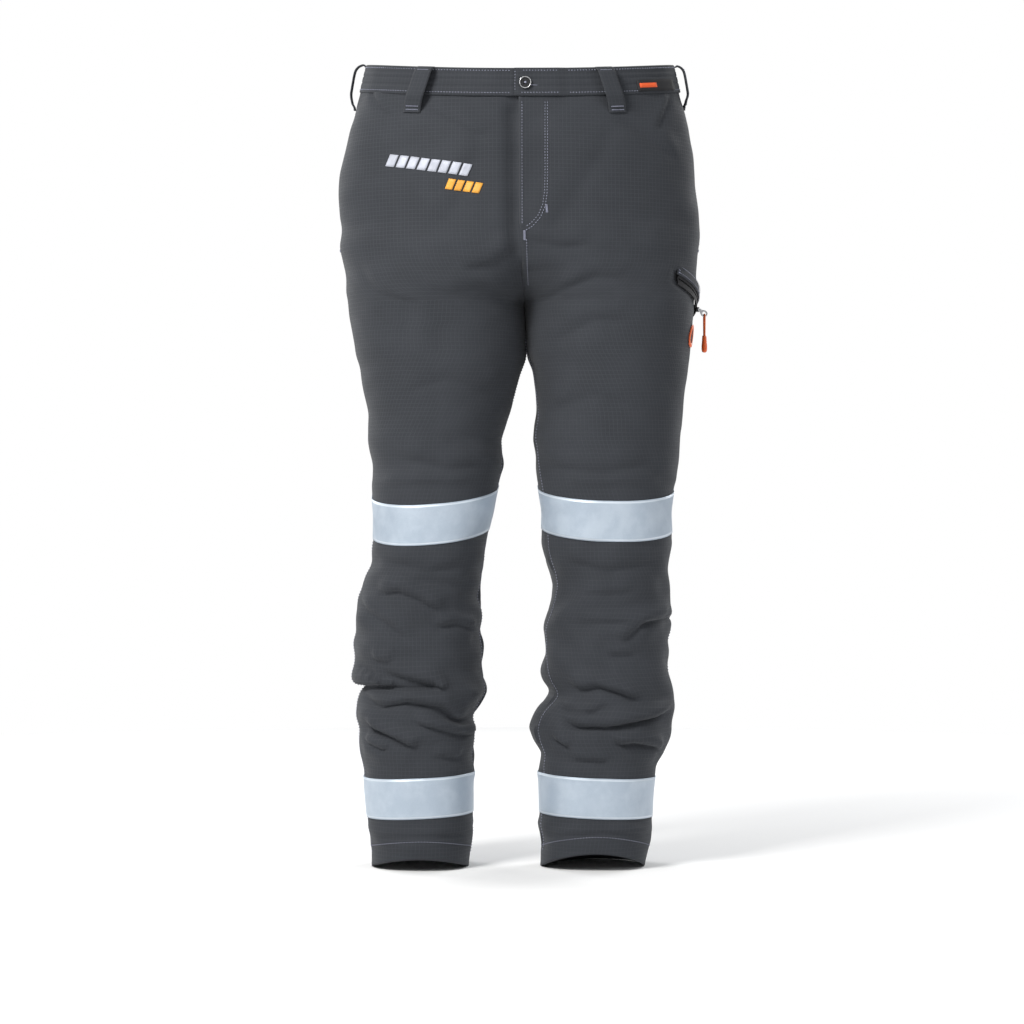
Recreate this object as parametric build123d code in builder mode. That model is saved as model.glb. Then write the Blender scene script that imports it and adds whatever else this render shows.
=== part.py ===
"""Chainsaw protective trousers in their worn shape, held up by the waist.

Millimetres. +Z is up, -Y is the wearer's front and +X is the wearer's left. The origin is the centre
of the waist opening, level with the top of the waistband at the back.
"""

import math
import os

from build123d import *

os.makedirs("parts", exist_ok=True)

# ---------------------------------------------------------------- driving dimensions

SEAM = 0.1  # cut edges of neighbouring panels stand this far apart
REACH = 320.0  # more than any half extent of the garment in X or Y
BELOW = -1200.0  # lower than the hem

# Depths of the layers, measured inwards from the outer surface. Negative is proud of it.
SHELL = (0.0, 1.5)
TRIM = (-0.9, -0.3)
FACING = (2.0, 3.2)
POCKETING = (2.0, 3.6)
PAD_SHEETS = ((4.2, 5.9), (6.15, 7.85), (8.1, 9.8))
LINING = (10.4, 11.2)
WAISTBAND = (0.0, 2.8)
ELASTIC = (3.2, 4.4)
FLY_SHIELD = (11.8, 12.8)
TAB = (-3.4, -0.3)
STITCHING = (-3.95, -3.45)

HEM_Z, HEM_H = -1003.0, 25.0
WAISTBAND_H = 36.0
LINING_END_Z = -975.0
PAD_TOP_Z, PAD_END_Z, PAD_MARGIN = -66.0, -965.0, 6.0
CROTCH_Z = -232.0
TAPE_H = 50.0

# Top edge of the waistband seen from the side: (y, z) at the front, the side and the back.
RIM_FRONT, RIM_SIDE, RIM_BACK = (-110.0, -24.0), (-10.0, -5.0), (110.0, 0.0)

# Sections: z, lowest x, highest x, front y, back y. The seat belongs to both legs.
SEAT = [
    (14, -182, 182, -104.7, 105),
    (-40, -198, 198, -109.6, 108),
    (-85, -210, 209, -113.7, 115),
    (-130, -221, 216, -117.7, 123),
    (-175, -225, 220, -121.8, 129),
]
RIGHT_FORK = [(-207, -225, 212, -124.6, 131), (-236, -222, 130, -124.0, 128), (-268, -218, 42, -118, 120)]
LEFT_FORK = [(-207, -216, 223, -124.6, 131), (-236, -134, 222, -124.0, 128), (-268, -44, 219, -118, 120)]
RIGHT_LEG = [
    (-302, -214, -2, -112, 108),
    (-370, -203, -2, -108, 98),
    (-430, -190, -10, -103, 88),
    (-490, -187, -22, -97, 78),
    (-560, -182, -33, -92, 68),
    (-620, -188, -44, -85, 68),
    (-700, -205, -47, -76, 78),
    (-760, -204, -48, -74, 82),
    (-820, -202, -54, -75, 79),
    (-890, -194, -59, -71, 72),
    (-945, -190, -60, -70, 70),
    (-980, -187, -62, -71, 68),
    (HEM_Z, -185, -63, -71, 66),
]
LEFT_LEG = [
    (-302, 2, 217, -112, 108),
    (-370, 6, 209, -108, 98),
    (-430, 13, 203, -103, 88),
    (-490, 18, 197, -97, 78),
    (-560, 27, 189, -92, 68),
    (-620, 34, 186, -85, 68),
    (-700, 33, 186, -76, 78),
    (-760, 29, 187, -74, 82),
    (-820, 23, 184, -75, 79),
    (-890, 22, 172, -71, 72),
    (-945, 24, 166, -70, 70),
    (-980, 25, 161, -71, 68),
    (HEM_Z, 25, 157, -71, 66),
]
FORK_ROWS = {row[0] for row in RIGHT_FORK} | {RIGHT_LEG[0][0]}
FORMS = {"right": SEAT + RIGHT_FORK + RIGHT_LEG, "left": SEAT + LEFT_FORK + LEFT_LEG}
SIDE = {"right": -1, "left": 1}
PLACES = {"front": True, "back": False}

# The inseam sits forward, and the side seam just behind the widest point.
INSEAM_Y, OUTSEAM_Y, OUTSEAM_X = -30.0, 28.0, 224.0

# Reflective bands: lower edge's z where it crosses the leg's middle, pitch and roll in degrees.
BANDS = {
    ("right", "knee"): (-584.0, 11.5, -4.5),
    ("left", "knee"): (-580.0, 11.5, 1.5),
    ("right", "ankle"): (-938.0, 0.5, -2.6),
    ("left", "ankle"): (-938.0, 0.5, 2.2),
}

# Belt loops: bearing round the waist in degrees, 0 at the wearer's left and -90 at the front.
BELT_LOOPS = {
    "front_right": -125.0,
    "front_left": -58.0,
    "side_right": 180.0,
    "side_left": -4.0,
    "back_right": 128.0,
    "back_centre": 90.0,
    "back_left": 52.0,
}
LOOP_W, LOOP_T, LOOP_REACH, LOOP_TAIL = 19.0, 1.6, 10.0, 20.0

# Fly: the zip runs down the front, which leans forward by FLY_LEAN for each mm of height.
FLY_X, FLY_TOP_Z, FLY_LEAN, FLY_W, FLY_END_Z = 12.0, -62.0, 0.0909, 32.0, -212.0
FLY_ZIP_LENGTH, TAPE_W, COIL_W, COIL_GAP = 146.0, 15.0, 2.3, 1.8

BUTTON_X, BUTTON_Z, BUTTON_R, BUTTON_T = 6.0, -42.0, 7.6, 3.0
BUTTONHOLE_L, BUTTONHOLE_H = 17.0, 3.0

# Thigh pocket: its zip follows an arc about a leaning axis through the left thigh.
ZIP_CENTRE = Vector(109.5, -2.0, -293.0)
ZIP_R, ZIP_BEARING, ZIP_LEAN = 111.6, -15.0, 19.0
ZIP_START, ZIP_END, SLIDER_AT = -27.0, 27.0, 23.6
PULL_OUT, PULL_REACH, PULL_DROOP = 4.4, 9.0, 28.0
CORD_R, STRAND_OFFSET, CORD_DROP = 1.0, 2.2, 25.0
EYE_RIM = 3.35  # from the middle of the tab's eye to the middle of its rim
GRIP_L = 21.0

PARTS = {}


# ---------------------------------------------------------------- shared geometry


def keep(name, shape):
    """Labels a finished piece and lists it for writing."""
    shape.label = name
    PARTS[name] = shape
    return shape


_forms = {}


def form(side, depth):
    """One leg with the whole seat above it, as a solid whose surface lies depth below the cloth's."""
    if (side, depth) not in _forms:
        rows = FORMS[side]
        spin = 180 if side == "left" else 0
        with BuildPart() as solid:
            for z, x0, x1, y0, y1 in rows:
                if z in FORK_ROWS:
                    level = z + depth
                elif z == HEM_Z:
                    level = z - 8
                else:
                    level = z
                with BuildSketch(Plane.XY.offset(level)):
                    with Locations(((x0 + x1) / 2, (y0 + y1) / 2)):
                        Ellipse((x1 - x0) / 2 - depth, (y1 - y0) / 2 - depth, rotation=spin)
            loft()
        _forms[side, depth] = solid.part
    return _forms[side, depth]


def layer(side, depths, *spaces):
    """A sheet of cloth between two depths, kept only inside every one of the given spaces."""
    within = spaces[0]
    for space in spaces[1:]:
        within = within & space
    return (form(side, depths[0]) & within) - form(side, depths[1])


def block(x0, x1, y0, y1, z0, z1):
    """A box from its limits along each axis."""
    with BuildPart() as box:
        with Locations(((x0 + x1) / 2, (y0 + y1) / 2, (z0 + z1) / 2)):
            Box(x1 - x0, y1 - y0, z1 - z0)
    return box.part


def below_rim(drop_top, drop_bottom):
    """Everything between two copies of the waistband's top edge, lowered by the two drops."""
    low, high = ([(y, z - drop) for y, z in (RIM_FRONT, RIM_SIDE, RIM_BACK)] for drop in (drop_bottom, drop_top))
    with BuildPart() as zone:
        with BuildSketch(Plane.YZ):
            with BuildLine():
                under = ThreePointArc(*low)
                upper = ThreePointArc(*high)
                Polyline(under @ 0, (-REACH, low[0][1] - 60), (-REACH, high[0][1] - 60), upper @ 0)
                Polyline(under @ 1, (REACH, low[2][1]), (REACH, high[2][1]), upper @ 1)
            make_face()
        extrude(amount=REACH, both=True)
    return zone.part


def panel_space(side, front, margin=SEAM / 2):
    """The space of one cut panel: one side of the body, in front of or behind its seams."""
    s = SIDE[side]
    shift = -margin if front else margin
    far = INSEAM_Y + (OUTSEAM_Y - INSEAM_Y) * REACH / OUTSEAM_X
    edge = -REACH if front else REACH
    corners = [
        (s * margin, INSEAM_Y + shift),
        (s * REACH, far + shift),
        (s * REACH, edge),
        (s * margin, edge),
    ]
    with BuildPart() as space:
        with BuildSketch(Plane.XY.offset(BELOW)):
            with BuildLine():
                Polyline(*corners, close=True)
            make_face()
        extrude(amount=-BELOW + 60, dir=(0, 0, 1))
    return space.part


def side_space(side):
    """All of one side of the body."""
    s = SIDE[side]
    return block(*sorted((s * SEAM / 2, s * REACH)), -REACH, REACH, BELOW, 60)


def waist_point(bearing, z):
    """The point of the outer surface at this height and bearing round the waist, and its outward normal."""
    rows = sorted(SEAT)
    below, above = next((a, b) for a, b in zip(rows, rows[1:]) if a[0] <= z <= b[0])
    share = (z - below[0]) / (above[0] - below[0])
    x0, x1, y0, y1 = (a + (b - a) * share for a, b in zip(below[1:], above[1:]))
    across, through = (x1 - x0) / 2, (y1 - y0) / 2
    c, s = math.cos(math.radians(bearing)), math.sin(math.radians(bearing))
    point = Vector((x0 + x1) / 2 + across * c, (y0 + y1) / 2 + through * s, z)
    return point, Vector(c / across, s / through, 0).normalized()


def rim_z(y):
    """Height of the waistband's top edge at this y, close to the arc that cuts it."""
    (y0, z0), (y1, z1), (y2, z2) = RIM_FRONT, RIM_SIDE, RIM_BACK
    front = z0 * (y - y1) * (y - y2) / ((y0 - y1) * (y0 - y2))
    middle = z1 * (y - y0) * (y - y2) / ((y1 - y0) * (y1 - y2))
    back = z2 * (y - y0) * (y - y1) / ((y2 - y0) * (y2 - y1))
    return front + middle + back


def front_patch(x, z, length, height, tilt=0.0, y_sign=-1):
    """A rounded bar standing through the front (or back) of the garment, to cut an applied trim with."""
    with BuildPart() as bar:
        with BuildSketch(Plane.XZ.offset(-y_sign * 40)):
            with Locations(Location((x, z, 0), (0, 0, tilt))):
                RectangleRounded(length, height, min(length, height) * 0.2)
        extrude(amount=-y_sign * (REACH - 40))
    return bar.part


# ---------------------------------------------------------------- outer cloth


def make_panels():
    """Two fronts and two backs. The left front has the slit of the thigh pocket's zip."""
    cut = below_rim(WAISTBAND_H + SEAM, -BELOW)
    above_hem = block(-REACH, REACH, -REACH, REACH, HEM_Z, 60)
    for side in SIDE:
        for place, front in PLACES.items():
            panel = layer(side, SHELL, cut, above_hem, panel_space(side, front))
            if (side, place) == ("left", "front"):
                panel = panel - zip_arc(ZIP_R - 9, ZIP_R + 3, -4.4, 4.4, ZIP_START - 0.6, ZIP_END + 0.6)
            keep(f"{side}_{place}_panel", panel)


def make_hems():
    """The cloth turned up inside each leg's end."""
    for side in SIDE:
        band = block(-REACH, REACH, -REACH, REACH, HEM_Z, HEM_Z + HEM_H)
        keep(f"{side}_hem_facing", layer(side, FACING, band, side_space(side)))


def make_bands():
    """Reflective tape round each knee and ankle, in front and back pieces caught in the seams."""
    for (side, joint), (z, pitch, roll) in BANDS.items():
        middle = sum(next(row for row in FORMS[side] if row[0] <= z + TAPE_H)[1:3]) / 2
        with BuildPart() as slab:
            with Locations(Location((middle, 0, z + TAPE_H / 2), (pitch, roll, 0))):
                Box(260, 420, TAPE_H)
        for place, front in PLACES.items():
            tape = layer(side, TRIM, slab.part, panel_space(side, front))
            keep(f"{side}_{joint}_band_{place}", tape)


def make_waistband():
    """Two halves that meet at the centre back. The left one ends in a tab over the right one's underlap."""
    ring = below_rim(0, WAISTBAND_H)
    underlap, tab_end, tab_root = 40.0, -9.0, 52.0
    right_space = block(-REACH, -SEAM / 2, -REACH, REACH, -100, 40) + block(-1, underlap, -REACH, 0, -100, 40)
    left_space = block(SEAM / 2, REACH, 0, REACH, -100, 40) + block(underlap + 1, REACH, -REACH, 1, -100, 40)
    keep("waistband_right", layer("right", WAISTBAND, ring, right_space))
    tab = layer("right", TAB, ring, block(tab_end, tab_root, -REACH, 0, -100, 40))
    bridge = layer("right", (TAB[0], 0.5), ring, block(underlap + 4, tab_root, -REACH, 0, -100, 40))
    left = layer("right", WAISTBAND, ring, left_space) + tab + bridge
    keep("waistband_left", left - buttonhole(0.0))
    stitch = layer("right", STITCHING, buttonhole(1.8) - buttonhole(0.15))
    keep("buttonhole_stitching", stitch)
    elastic = block(-REACH, REACH, 20, REACH, -100, 40)
    keep("waistband_elastic", layer("right", ELASTIC, below_rim(4, WAISTBAND_H - 4), elastic))


def buttonhole(grow):
    """The slot of the buttonhole, as a bar through the front of the waistband."""
    with BuildPart() as slot:
        with BuildSketch(Plane.XZ.offset(60)):
            with Locations((BUTTON_X + BUTTONHOLE_L / 2 - BUTTONHOLE_H / 2, BUTTON_Z)):
                SlotOverall(BUTTONHOLE_L + 2 * grow, BUTTONHOLE_H + 2 * grow)
        extrude(amount=120)
    return slot.part


def make_button():
    """A rimmed four-hole button, and the thread shank that it stands on."""
    point, _ = waist_point(-90, BUTTON_Z)
    back = TAB[0] - 1.0
    face = Plane(origin=(BUTTON_X, point.Y + back, BUTTON_Z), x_dir=(1, 0, 0), z_dir=(0, -1, 0))
    with BuildPart() as button:
        with BuildSketch(face):
            Circle(BUTTON_R)
        extrude(amount=BUTTON_T)
        fillet(button.edges().filter_by(GeomType.CIRCLE), 0.7)
        with BuildSketch(face.offset(BUTTON_T)):
            Circle(BUTTON_R - 2.0)
        extrude(amount=-1.1, mode=Mode.SUBTRACT)
        with BuildSketch(face):
            with PolarLocations(2.2, 4, start_angle=45):
                Circle(0.85)
        extrude(amount=BUTTON_T, mode=Mode.SUBTRACT)
    keep("waist_button", button.part)
    with BuildPart() as thread:
        with BuildSketch(face):
            Circle(1.2)
        extrude(amount=back + 0.06)
    keep("button_thread", thread.part)


def make_belt_loops():
    """Strips sewn at both ends that stand off the waistband, so that a belt passes behind them."""
    for name, bearing in BELT_LOOPS.items():
        top, normal = waist_point(bearing, -20)
        top_z = rim_z(top.Y) - 1.5
        top, normal = waist_point(bearing, top_z)
        tail_z = top_z - WAISTBAND_H - LOOP_TAIL
        knee, _ = waist_point(bearing, tail_z + 14)
        tail, _ = waist_point(bearing, tail_z)
        reach = [(p - top).dot(normal) for p in (top, knee, tail)]
        stand = LOOP_T / 2 + 0.7
        across = Plane(origin=top, x_dir=normal, z_dir=Vector(0, 0, 1).cross(normal) * -1)
        with BuildPart() as loop:
            with BuildSketch(across):
                with BuildLine():
                    FilletPolyline(
                        (stand, 0),
                        (LOOP_REACH + 1, -3),
                        (reach[1] + LOOP_REACH, tail_z + 14 - top_z),
                        (reach[2] + stand + 0.6, tail_z + 6 - top_z),
                        (reach[2] + stand, tail_z - top_z),
                        radius=2.5,
                    )
                trace(line_width=LOOP_T)
            extrude(amount=LOOP_W / 2, both=True)
        side = "right" if top.X < 0 else "left"
        trimmed = loop.part - PARTS[f"waistband_{side}"]
        keep(f"belt_loop_{name}", trimmed.solids().sort_by(SortBy.VOLUME)[-1])


# ---------------------------------------------------------------- fly


def fly_plane():
    """The plane of the fly zip: x to the wearer's left, y up along the zip, z out to the front."""
    front = SEAT[1][3] + (SEAT[1][0] - FLY_TOP_Z) * -FLY_LEAN
    return Plane(origin=(FLY_X, front, FLY_TOP_Z), x_dir=(1, 0, 0), z_dir=(0, -1, FLY_LEAN))


def fly_block(x0, x1, y0, y1, depth0, depth1):
    """A box in the fly's plane, between two depths behind the outer surface."""
    with BuildPart() as box:
        with BuildSketch(fly_plane().offset(-depth1)):
            with Locations(((x0 + x1) / 2, (y0 + y1) / 2)):
                Rectangle(x1 - x0, y1 - y0)
        extrude(amount=depth1 - depth0)
    return box.part


def make_fly():
    """The stitched facing and the shield of the fly, and its zip with tapes, coils, stops and slider."""
    top = below_rim(WAISTBAND_H + 2, -BELOW)
    facing = block(1, FLY_W, -REACH, 0, FLY_END_Z, 0)
    keep("fly_facing", layer("left", FACING, facing, top))
    shield = block(-10, FLY_W + 6, -REACH, 0, FLY_END_Z + 8, 0)
    keep("fly_shield", layer("left", FLY_SHIELD, shield, top))
    inner = COIL_GAP / 2
    for side, s in SIDE.items():
        tape = sorted((s * (inner + 0.3), s * (inner + TAPE_W)))
        coil = sorted((s * inner, s * (inner + COIL_W)))
        keep(f"fly_zip_tape_{side}", fly_block(*tape, -FLY_ZIP_LENGTH, 0, 7.9, 8.5))
        keep(f"fly_zip_coil_{side}", fly_block(*coil, 4 - FLY_ZIP_LENGTH, -3, 6.8, 7.85))
    stops = fly_block(-3.2, 3.2, -FLY_ZIP_LENGTH, 3.5 - FLY_ZIP_LENGTH, 6.2, 7.8)
    for s in SIDE.values():
        stops = stops + fly_block(*sorted((s * inner, s * (inner + COIL_W))), -2.6, -0.4, 6.2, 7.8)
    keep("fly_zip_stops", stops)
    plates = fly_block(-3.6, 3.6, -14, -4, 5.4, 6.3) + fly_block(-3.6, 3.6, -14, -4, 8.9, 9.8)
    post = fly_block(-0.55, 0.55, -6.2, -4.4, 6.3, 8.9)
    bail = fly_block(-0.6, 0.6, -7, -5, 4.0, 5.4) + fly_block(-0.6, 0.6, -11.6, -5, 3.7, 4.2)
    bail = bail + fly_block(-0.6, 0.6, -11.6, -10.4, 3.7, 5.4)
    keep("fly_zip_slider", plates + post + bail)
    with BuildPart() as pull:
        with BuildSketch(fly_plane().offset(-5.2)):
            with BuildLine():
                Polyline((-2.4, -7.4), (2.4, -7.4), (3.2, -27), (-3.2, -27), close=True)
            make_face()
            with Locations((0, -10.2)):
                Rectangle(2.2, 4.2, mode=Mode.SUBTRACT)
            with Locations((0, -23)):
                Circle(1.4, mode=Mode.SUBTRACT)
        extrude(amount=0.8)
    keep("fly_zip_pull", pull.part)


# ---------------------------------------------------------------- inside layers


def make_linings():
    """The lining of each side, from the waistband to above the hem, cut away behind the fly."""
    space = below_rim(WAISTBAND_H + 2, -BELOW) & block(-REACH, REACH, -REACH, REACH, LINING_END_Z, 60)
    fly = block(-14, FLY_W + 10, -REACH, 0, CROTCH_Z + 8, 60)
    for side in SIDE:
        keep(f"{side}_lining", layer(side, LINING, space, side_space(side)) - fly)


def make_saw_pads():
    """Loose sheets of cut-stopping fibre down the front of each leg, clear of the fly and the seams."""
    for side, s in SIDE.items():
        zone = panel_space(side, True, PAD_MARGIN)
        zone = zone & block(-REACH, REACH, -REACH, REACH, PAD_END_Z, PAD_TOP_Z)
        zone = zone - block(*sorted((0, s * 48)), -REACH, 0, -282, 60)
        sheets = [layer(side, depths, zone) for depths in PAD_SHEETS]
        keep(f"{side}_saw_pad", Compound([solid for sheet in sheets for solid in sheet.solids()]))


def make_pockets():
    """Pocketing of the hip, back and thigh pockets, and the welts of the back pockets."""
    for side, s in SIDE.items():
        hip = block(*sorted((s * 85, s * REACH)), -REACH, 20, -255, 0) & below_rim(WAISTBAND_H + 4, -BELOW)
        keep(f"{side}_hip_pocket_bag", layer(side, POCKETING, hip, panel_space(side, True, 1.0)))
        back = block(*sorted((s * 38, s * 158)), 20, REACH, -262, -108)
        keep(f"{side}_back_pocket_bag", layer(side, POCKETING, back))
        welt = front_patch(s * 98, -112, 124, 13, -2 * s, y_sign=1)
        keep(f"{side}_back_pocket_welt", layer(side, TRIM, welt))
    thigh = block(150, REACH, -REACH, 60, -455, -262)
    keep("thigh_pocket_bag", layer("left", POCKETING, thigh))


# ---------------------------------------------------------------- thigh pocket zip


def zip_frame(turn=0.0):
    """Frame of the thigh zip at a turn about its axis: x points out of the leg, y to the back, z up the axis."""
    bearing, lean = math.radians(ZIP_BEARING), math.radians(ZIP_LEAN)
    out = Vector(math.cos(bearing), math.sin(bearing), 0)
    back = Vector(-math.sin(bearing), math.cos(bearing), 0)
    axis = Vector(0, 0, 1) * math.cos(lean) + back * math.sin(lean)
    return Plane(origin=ZIP_CENTRE, x_dir=out.rotate(Axis((0, 0, 0), axis), turn), z_dir=axis)


def zip_arc(r0, r1, h0, h1, start, end):
    """A curved bar about the zip's axis, between two radii, two heights and two turns."""
    frame = zip_frame(start)
    section = Plane(origin=frame.origin, x_dir=frame.x_dir, z_dir=frame.y_dir * -1)
    with BuildPart() as bar:
        with BuildSketch(section):
            with Locations(((r0 + r1) / 2, (h0 + h1) / 2)):
                Rectangle(r1 - r0, h1 - h0)
        revolve(axis=Axis(frame.origin, frame.z_dir), revolution_arc=end - start)
    return bar.part


def make_thigh_zip():
    """Tapes, coils, stops and the flap that shelters the zip from above."""
    inner = COIL_GAP / 2
    tapes, coils = [], []
    for s in (1, -1):
        tape = sorted((s * (inner + 0.2), s * 7.5))
        coil = sorted((s * inner, s * (inner + 1.7)))
        tapes.append(zip_arc(ZIP_R, ZIP_R + 0.6, *tape, ZIP_START, ZIP_END))
        coils.append(zip_arc(ZIP_R - 1.1, ZIP_R - 0.05, *coil, ZIP_START, ZIP_END))
    keep("thigh_zip_tapes", Compound([s for tape in tapes for s in tape.solids()]))
    keep("thigh_zip_coils", Compound([s for coil in coils for s in coil.solids()]))
    stops = [zip_arc(ZIP_R - 1.1, ZIP_R + 1.2, -3, 3, at, at + 0.8) for at in (ZIP_START - 1.0, ZIP_END + 0.2)]
    keep("thigh_zip_stops", Compound([s for stop in stops for s in stop.solids()]))
    skirt = zip_arc(ZIP_R + 1.0, ZIP_R + 2.2, 4.4, 18, ZIP_START - 2, ZIP_END + 1)
    root = zip_arc(ZIP_R - 0.9, ZIP_R + 2.2, 16.4, 18, ZIP_START - 2, ZIP_END + 1)
    keep("thigh_pocket_flap", skirt + root)


def make_thigh_slider():
    """Slider with its post and bail, and the metal tab that turns on the bail."""
    a0, a1 = SLIDER_AT - 2.6, SLIDER_AT + 2.6
    slider = zip_arc(ZIP_R + 0.9, ZIP_R + 1.9, -3.6, 3.6, a0, a1)
    slider = slider + zip_arc(ZIP_R - 2.4, ZIP_R - 1.5, -3.6, 3.6, a0, a1)
    slider = slider + zip_arc(ZIP_R - 1.5, ZIP_R + 0.9, -0.55, 0.55, a1 - 1.2, a1 - 0.3)
    for s in (1, -1):
        lug = zip_arc(ZIP_R + 1.8, ZIP_R + 5.4, *sorted((s * 2.0, s * 2.9)), SLIDER_AT - 0.6, SLIDER_AT + 0.6)
        slider = slider + lug
    frame = zip_frame(SLIDER_AT)
    pin_at = frame.origin + frame.x_dir * (ZIP_R + PULL_OUT)
    with BuildPart() as pin:
        with BuildSketch(Plane(origin=pin_at - frame.z_dir * 2.4, x_dir=frame.x_dir, z_dir=frame.z_dir)):
            Circle(0.7)
        extrude(amount=4.8)
    keep("thigh_zip_slider", slider + pin.part)

    plate = Plane(origin=pin_at, x_dir=frame.x_dir, z_dir=frame.y_dir * -1)
    droop = math.radians(PULL_DROOP)
    eye = (PULL_REACH * math.cos(droop), -PULL_REACH * math.sin(droop))
    with BuildPart() as tab:
        with BuildSketch(plate):
            with Locations(eye):
                Circle(4.2)
            with Locations((3.4, -1.2)):
                Circle(1.7)
            make_hull()
            with Locations((1.7, 0)):
                Rectangle(3.4, 2.8)
            with Locations(eye):
                Circle(2.5, mode=Mode.SUBTRACT)
        extrude(amount=0.7, both=True)
        with BuildSketch(Plane(origin=pin_at - frame.z_dir * 1.5, x_dir=frame.x_dir, z_dir=frame.z_dir)):
            Circle(1.6)
        extrude(amount=3.0)
        with BuildSketch(Plane(origin=pin_at - frame.z_dir * 1.6, x_dir=frame.x_dir, z_dir=frame.z_dir)):
            Circle(0.8)
        extrude(amount=3.2, mode=Mode.SUBTRACT)
    keep("thigh_zip_tab", tab.part)
    return plate.from_local_coords(Vector(*eye, 0)), frame.y_dir


def make_thigh_puller(eye, through):
    """A loop of cord through the tab's eye, with both ends moulded into a grip."""
    down = Vector(0, 0, -1)
    sag = (down - through * down.dot(through)).normalized()
    through = (through - down * through.dot(down)).normalized()
    hang = Plane(origin=eye + sag * EYE_RIM, x_dir=through, z_dir=through.cross(Vector(0, 0, 1)))
    with BuildPart() as cord:
        with BuildLine(hang):
            first = Line((-STRAND_OFFSET, -CORD_DROP), (-STRAND_OFFSET, 0))
            bend = ThreePointArc(first @ 1, (0, STRAND_OFFSET), (STRAND_OFFSET, 0))
            Line(bend @ 1, (STRAND_OFFSET, -CORD_DROP))
        with BuildSketch(Plane(origin=first @ 0, z_dir=first % 0)):
            Circle(CORD_R)
        sweep()
    keep("thigh_puller_cord", cord.part)
    print("puller cord, length and bend radius:", round(2 * CORD_DROP + math.pi * STRAND_OFFSET), STRAND_OFFSET)
    top = hang.origin + down * CORD_DROP
    with BuildPart() as grip:
        for drop, wide, deep in ((0, 3.0, 3.7), (GRIP_L * 0.75, 3.9, 4.3), (GRIP_L, 3.0, 3.4)):
            with BuildSketch(Plane(origin=top + down * drop, x_dir=through, z_dir=down)):
                Ellipse(deep, wide)
        loft()
    keep("thigh_puller_grip", grip.part)


# ---------------------------------------------------------------- applied trims


def make_trims():
    """Embroidery, badge, woven label and bar tacks."""
    keep("embroidered_stripe_grey", layer("right", TRIM, front_patch(-111, -140, 106, 13, -8)))
    keep("embroidered_stripe_amber", layer("right", TRIM, front_patch(-66, -168, 44, 12, -8)))
    keep("woven_label", layer("left", TRIM, front_patch(157, -50, 48, 14, 0)))
    bearing = math.radians(-9)
    out = Vector(math.cos(bearing), math.sin(bearing), 0)
    with BuildPart() as disc:
        with BuildSketch(Plane(origin=Vector(108, 0, -344), x_dir=(0, 0, 1), z_dir=out)):
            Circle(14)
        extrude(amount=160)
    keep("thigh_badge", layer("left", TRIM, disc.part))

    tacks = []
    for s, side in ((-1, "right"), (1, "left")):
        ends = block(*sorted((s * 150, s * REACH)), OUTSEAM_Y - 24, OUTSEAM_Y - 12, -236.5, -234)
        tacks.append(layer(side, TRIM, ends))
        for x in (34, 162):
            tacks.append(layer(side, (-1.8, -1.1), front_patch(s * x, -112, 2.5, 13, 0, y_sign=1)))
    tacks.append(layer("left", TRIM, front_patch(FLY_W - 1, -196, 2.4, 11)))
    tacks.append(layer("left", TRIM, front_patch(2.2, FLY_END_Z - 6, 2.4, 12)))
    keep("bar_tacks", Compound([solid for tack in tacks for solid in tack.solids()]))


def main():
    make_panels()
    make_hems()
    make_bands()
    make_waistband()
    make_button()
    make_belt_loops()
    make_fly()
    make_linings()
    make_saw_pads()
    make_pockets()
    make_thigh_zip()
    eye, through = make_thigh_slider()
    make_thigh_puller(eye, through)
    make_trims()
    for name, shape in PARTS.items():
        export_step(shape, f"parts/{name}.step")
        print(name, len(shape.solids()), round(shape.volume))


main()
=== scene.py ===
"""Looks of the chainsaw trousers: cloth with folds, seams, stitching, tapes, pads and trims.

Metres in the shared frame: +Z up, -Y to the wearer's front, +X to the wearer's left. Shapes are written in
millimetres and divided once, in the functions that make meshes.
"""

import math
from functools import partial

import bmesh
import bpy
import numpy as np
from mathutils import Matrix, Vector
from mathutils.bvhtree import BVHTree


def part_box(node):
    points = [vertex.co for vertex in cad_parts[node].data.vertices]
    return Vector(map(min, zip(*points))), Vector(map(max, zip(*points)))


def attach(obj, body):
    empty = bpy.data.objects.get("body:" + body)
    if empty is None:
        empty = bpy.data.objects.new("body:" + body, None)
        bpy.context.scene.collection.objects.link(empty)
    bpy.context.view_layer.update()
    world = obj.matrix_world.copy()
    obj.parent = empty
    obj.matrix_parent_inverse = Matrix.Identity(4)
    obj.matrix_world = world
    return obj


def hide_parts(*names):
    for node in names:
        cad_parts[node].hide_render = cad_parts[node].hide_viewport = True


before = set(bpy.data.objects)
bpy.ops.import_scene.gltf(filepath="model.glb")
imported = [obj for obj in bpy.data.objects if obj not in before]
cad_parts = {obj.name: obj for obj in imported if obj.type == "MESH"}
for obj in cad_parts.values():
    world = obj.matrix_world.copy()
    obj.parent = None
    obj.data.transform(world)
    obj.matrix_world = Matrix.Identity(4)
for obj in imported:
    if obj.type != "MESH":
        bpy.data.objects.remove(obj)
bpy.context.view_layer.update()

SIDES = {"right": -1, "left": 1}
TAPE_H = 50.0  # width of the reflective tapes

# ---------------------------------------------------------------- camera, floor and light


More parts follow.
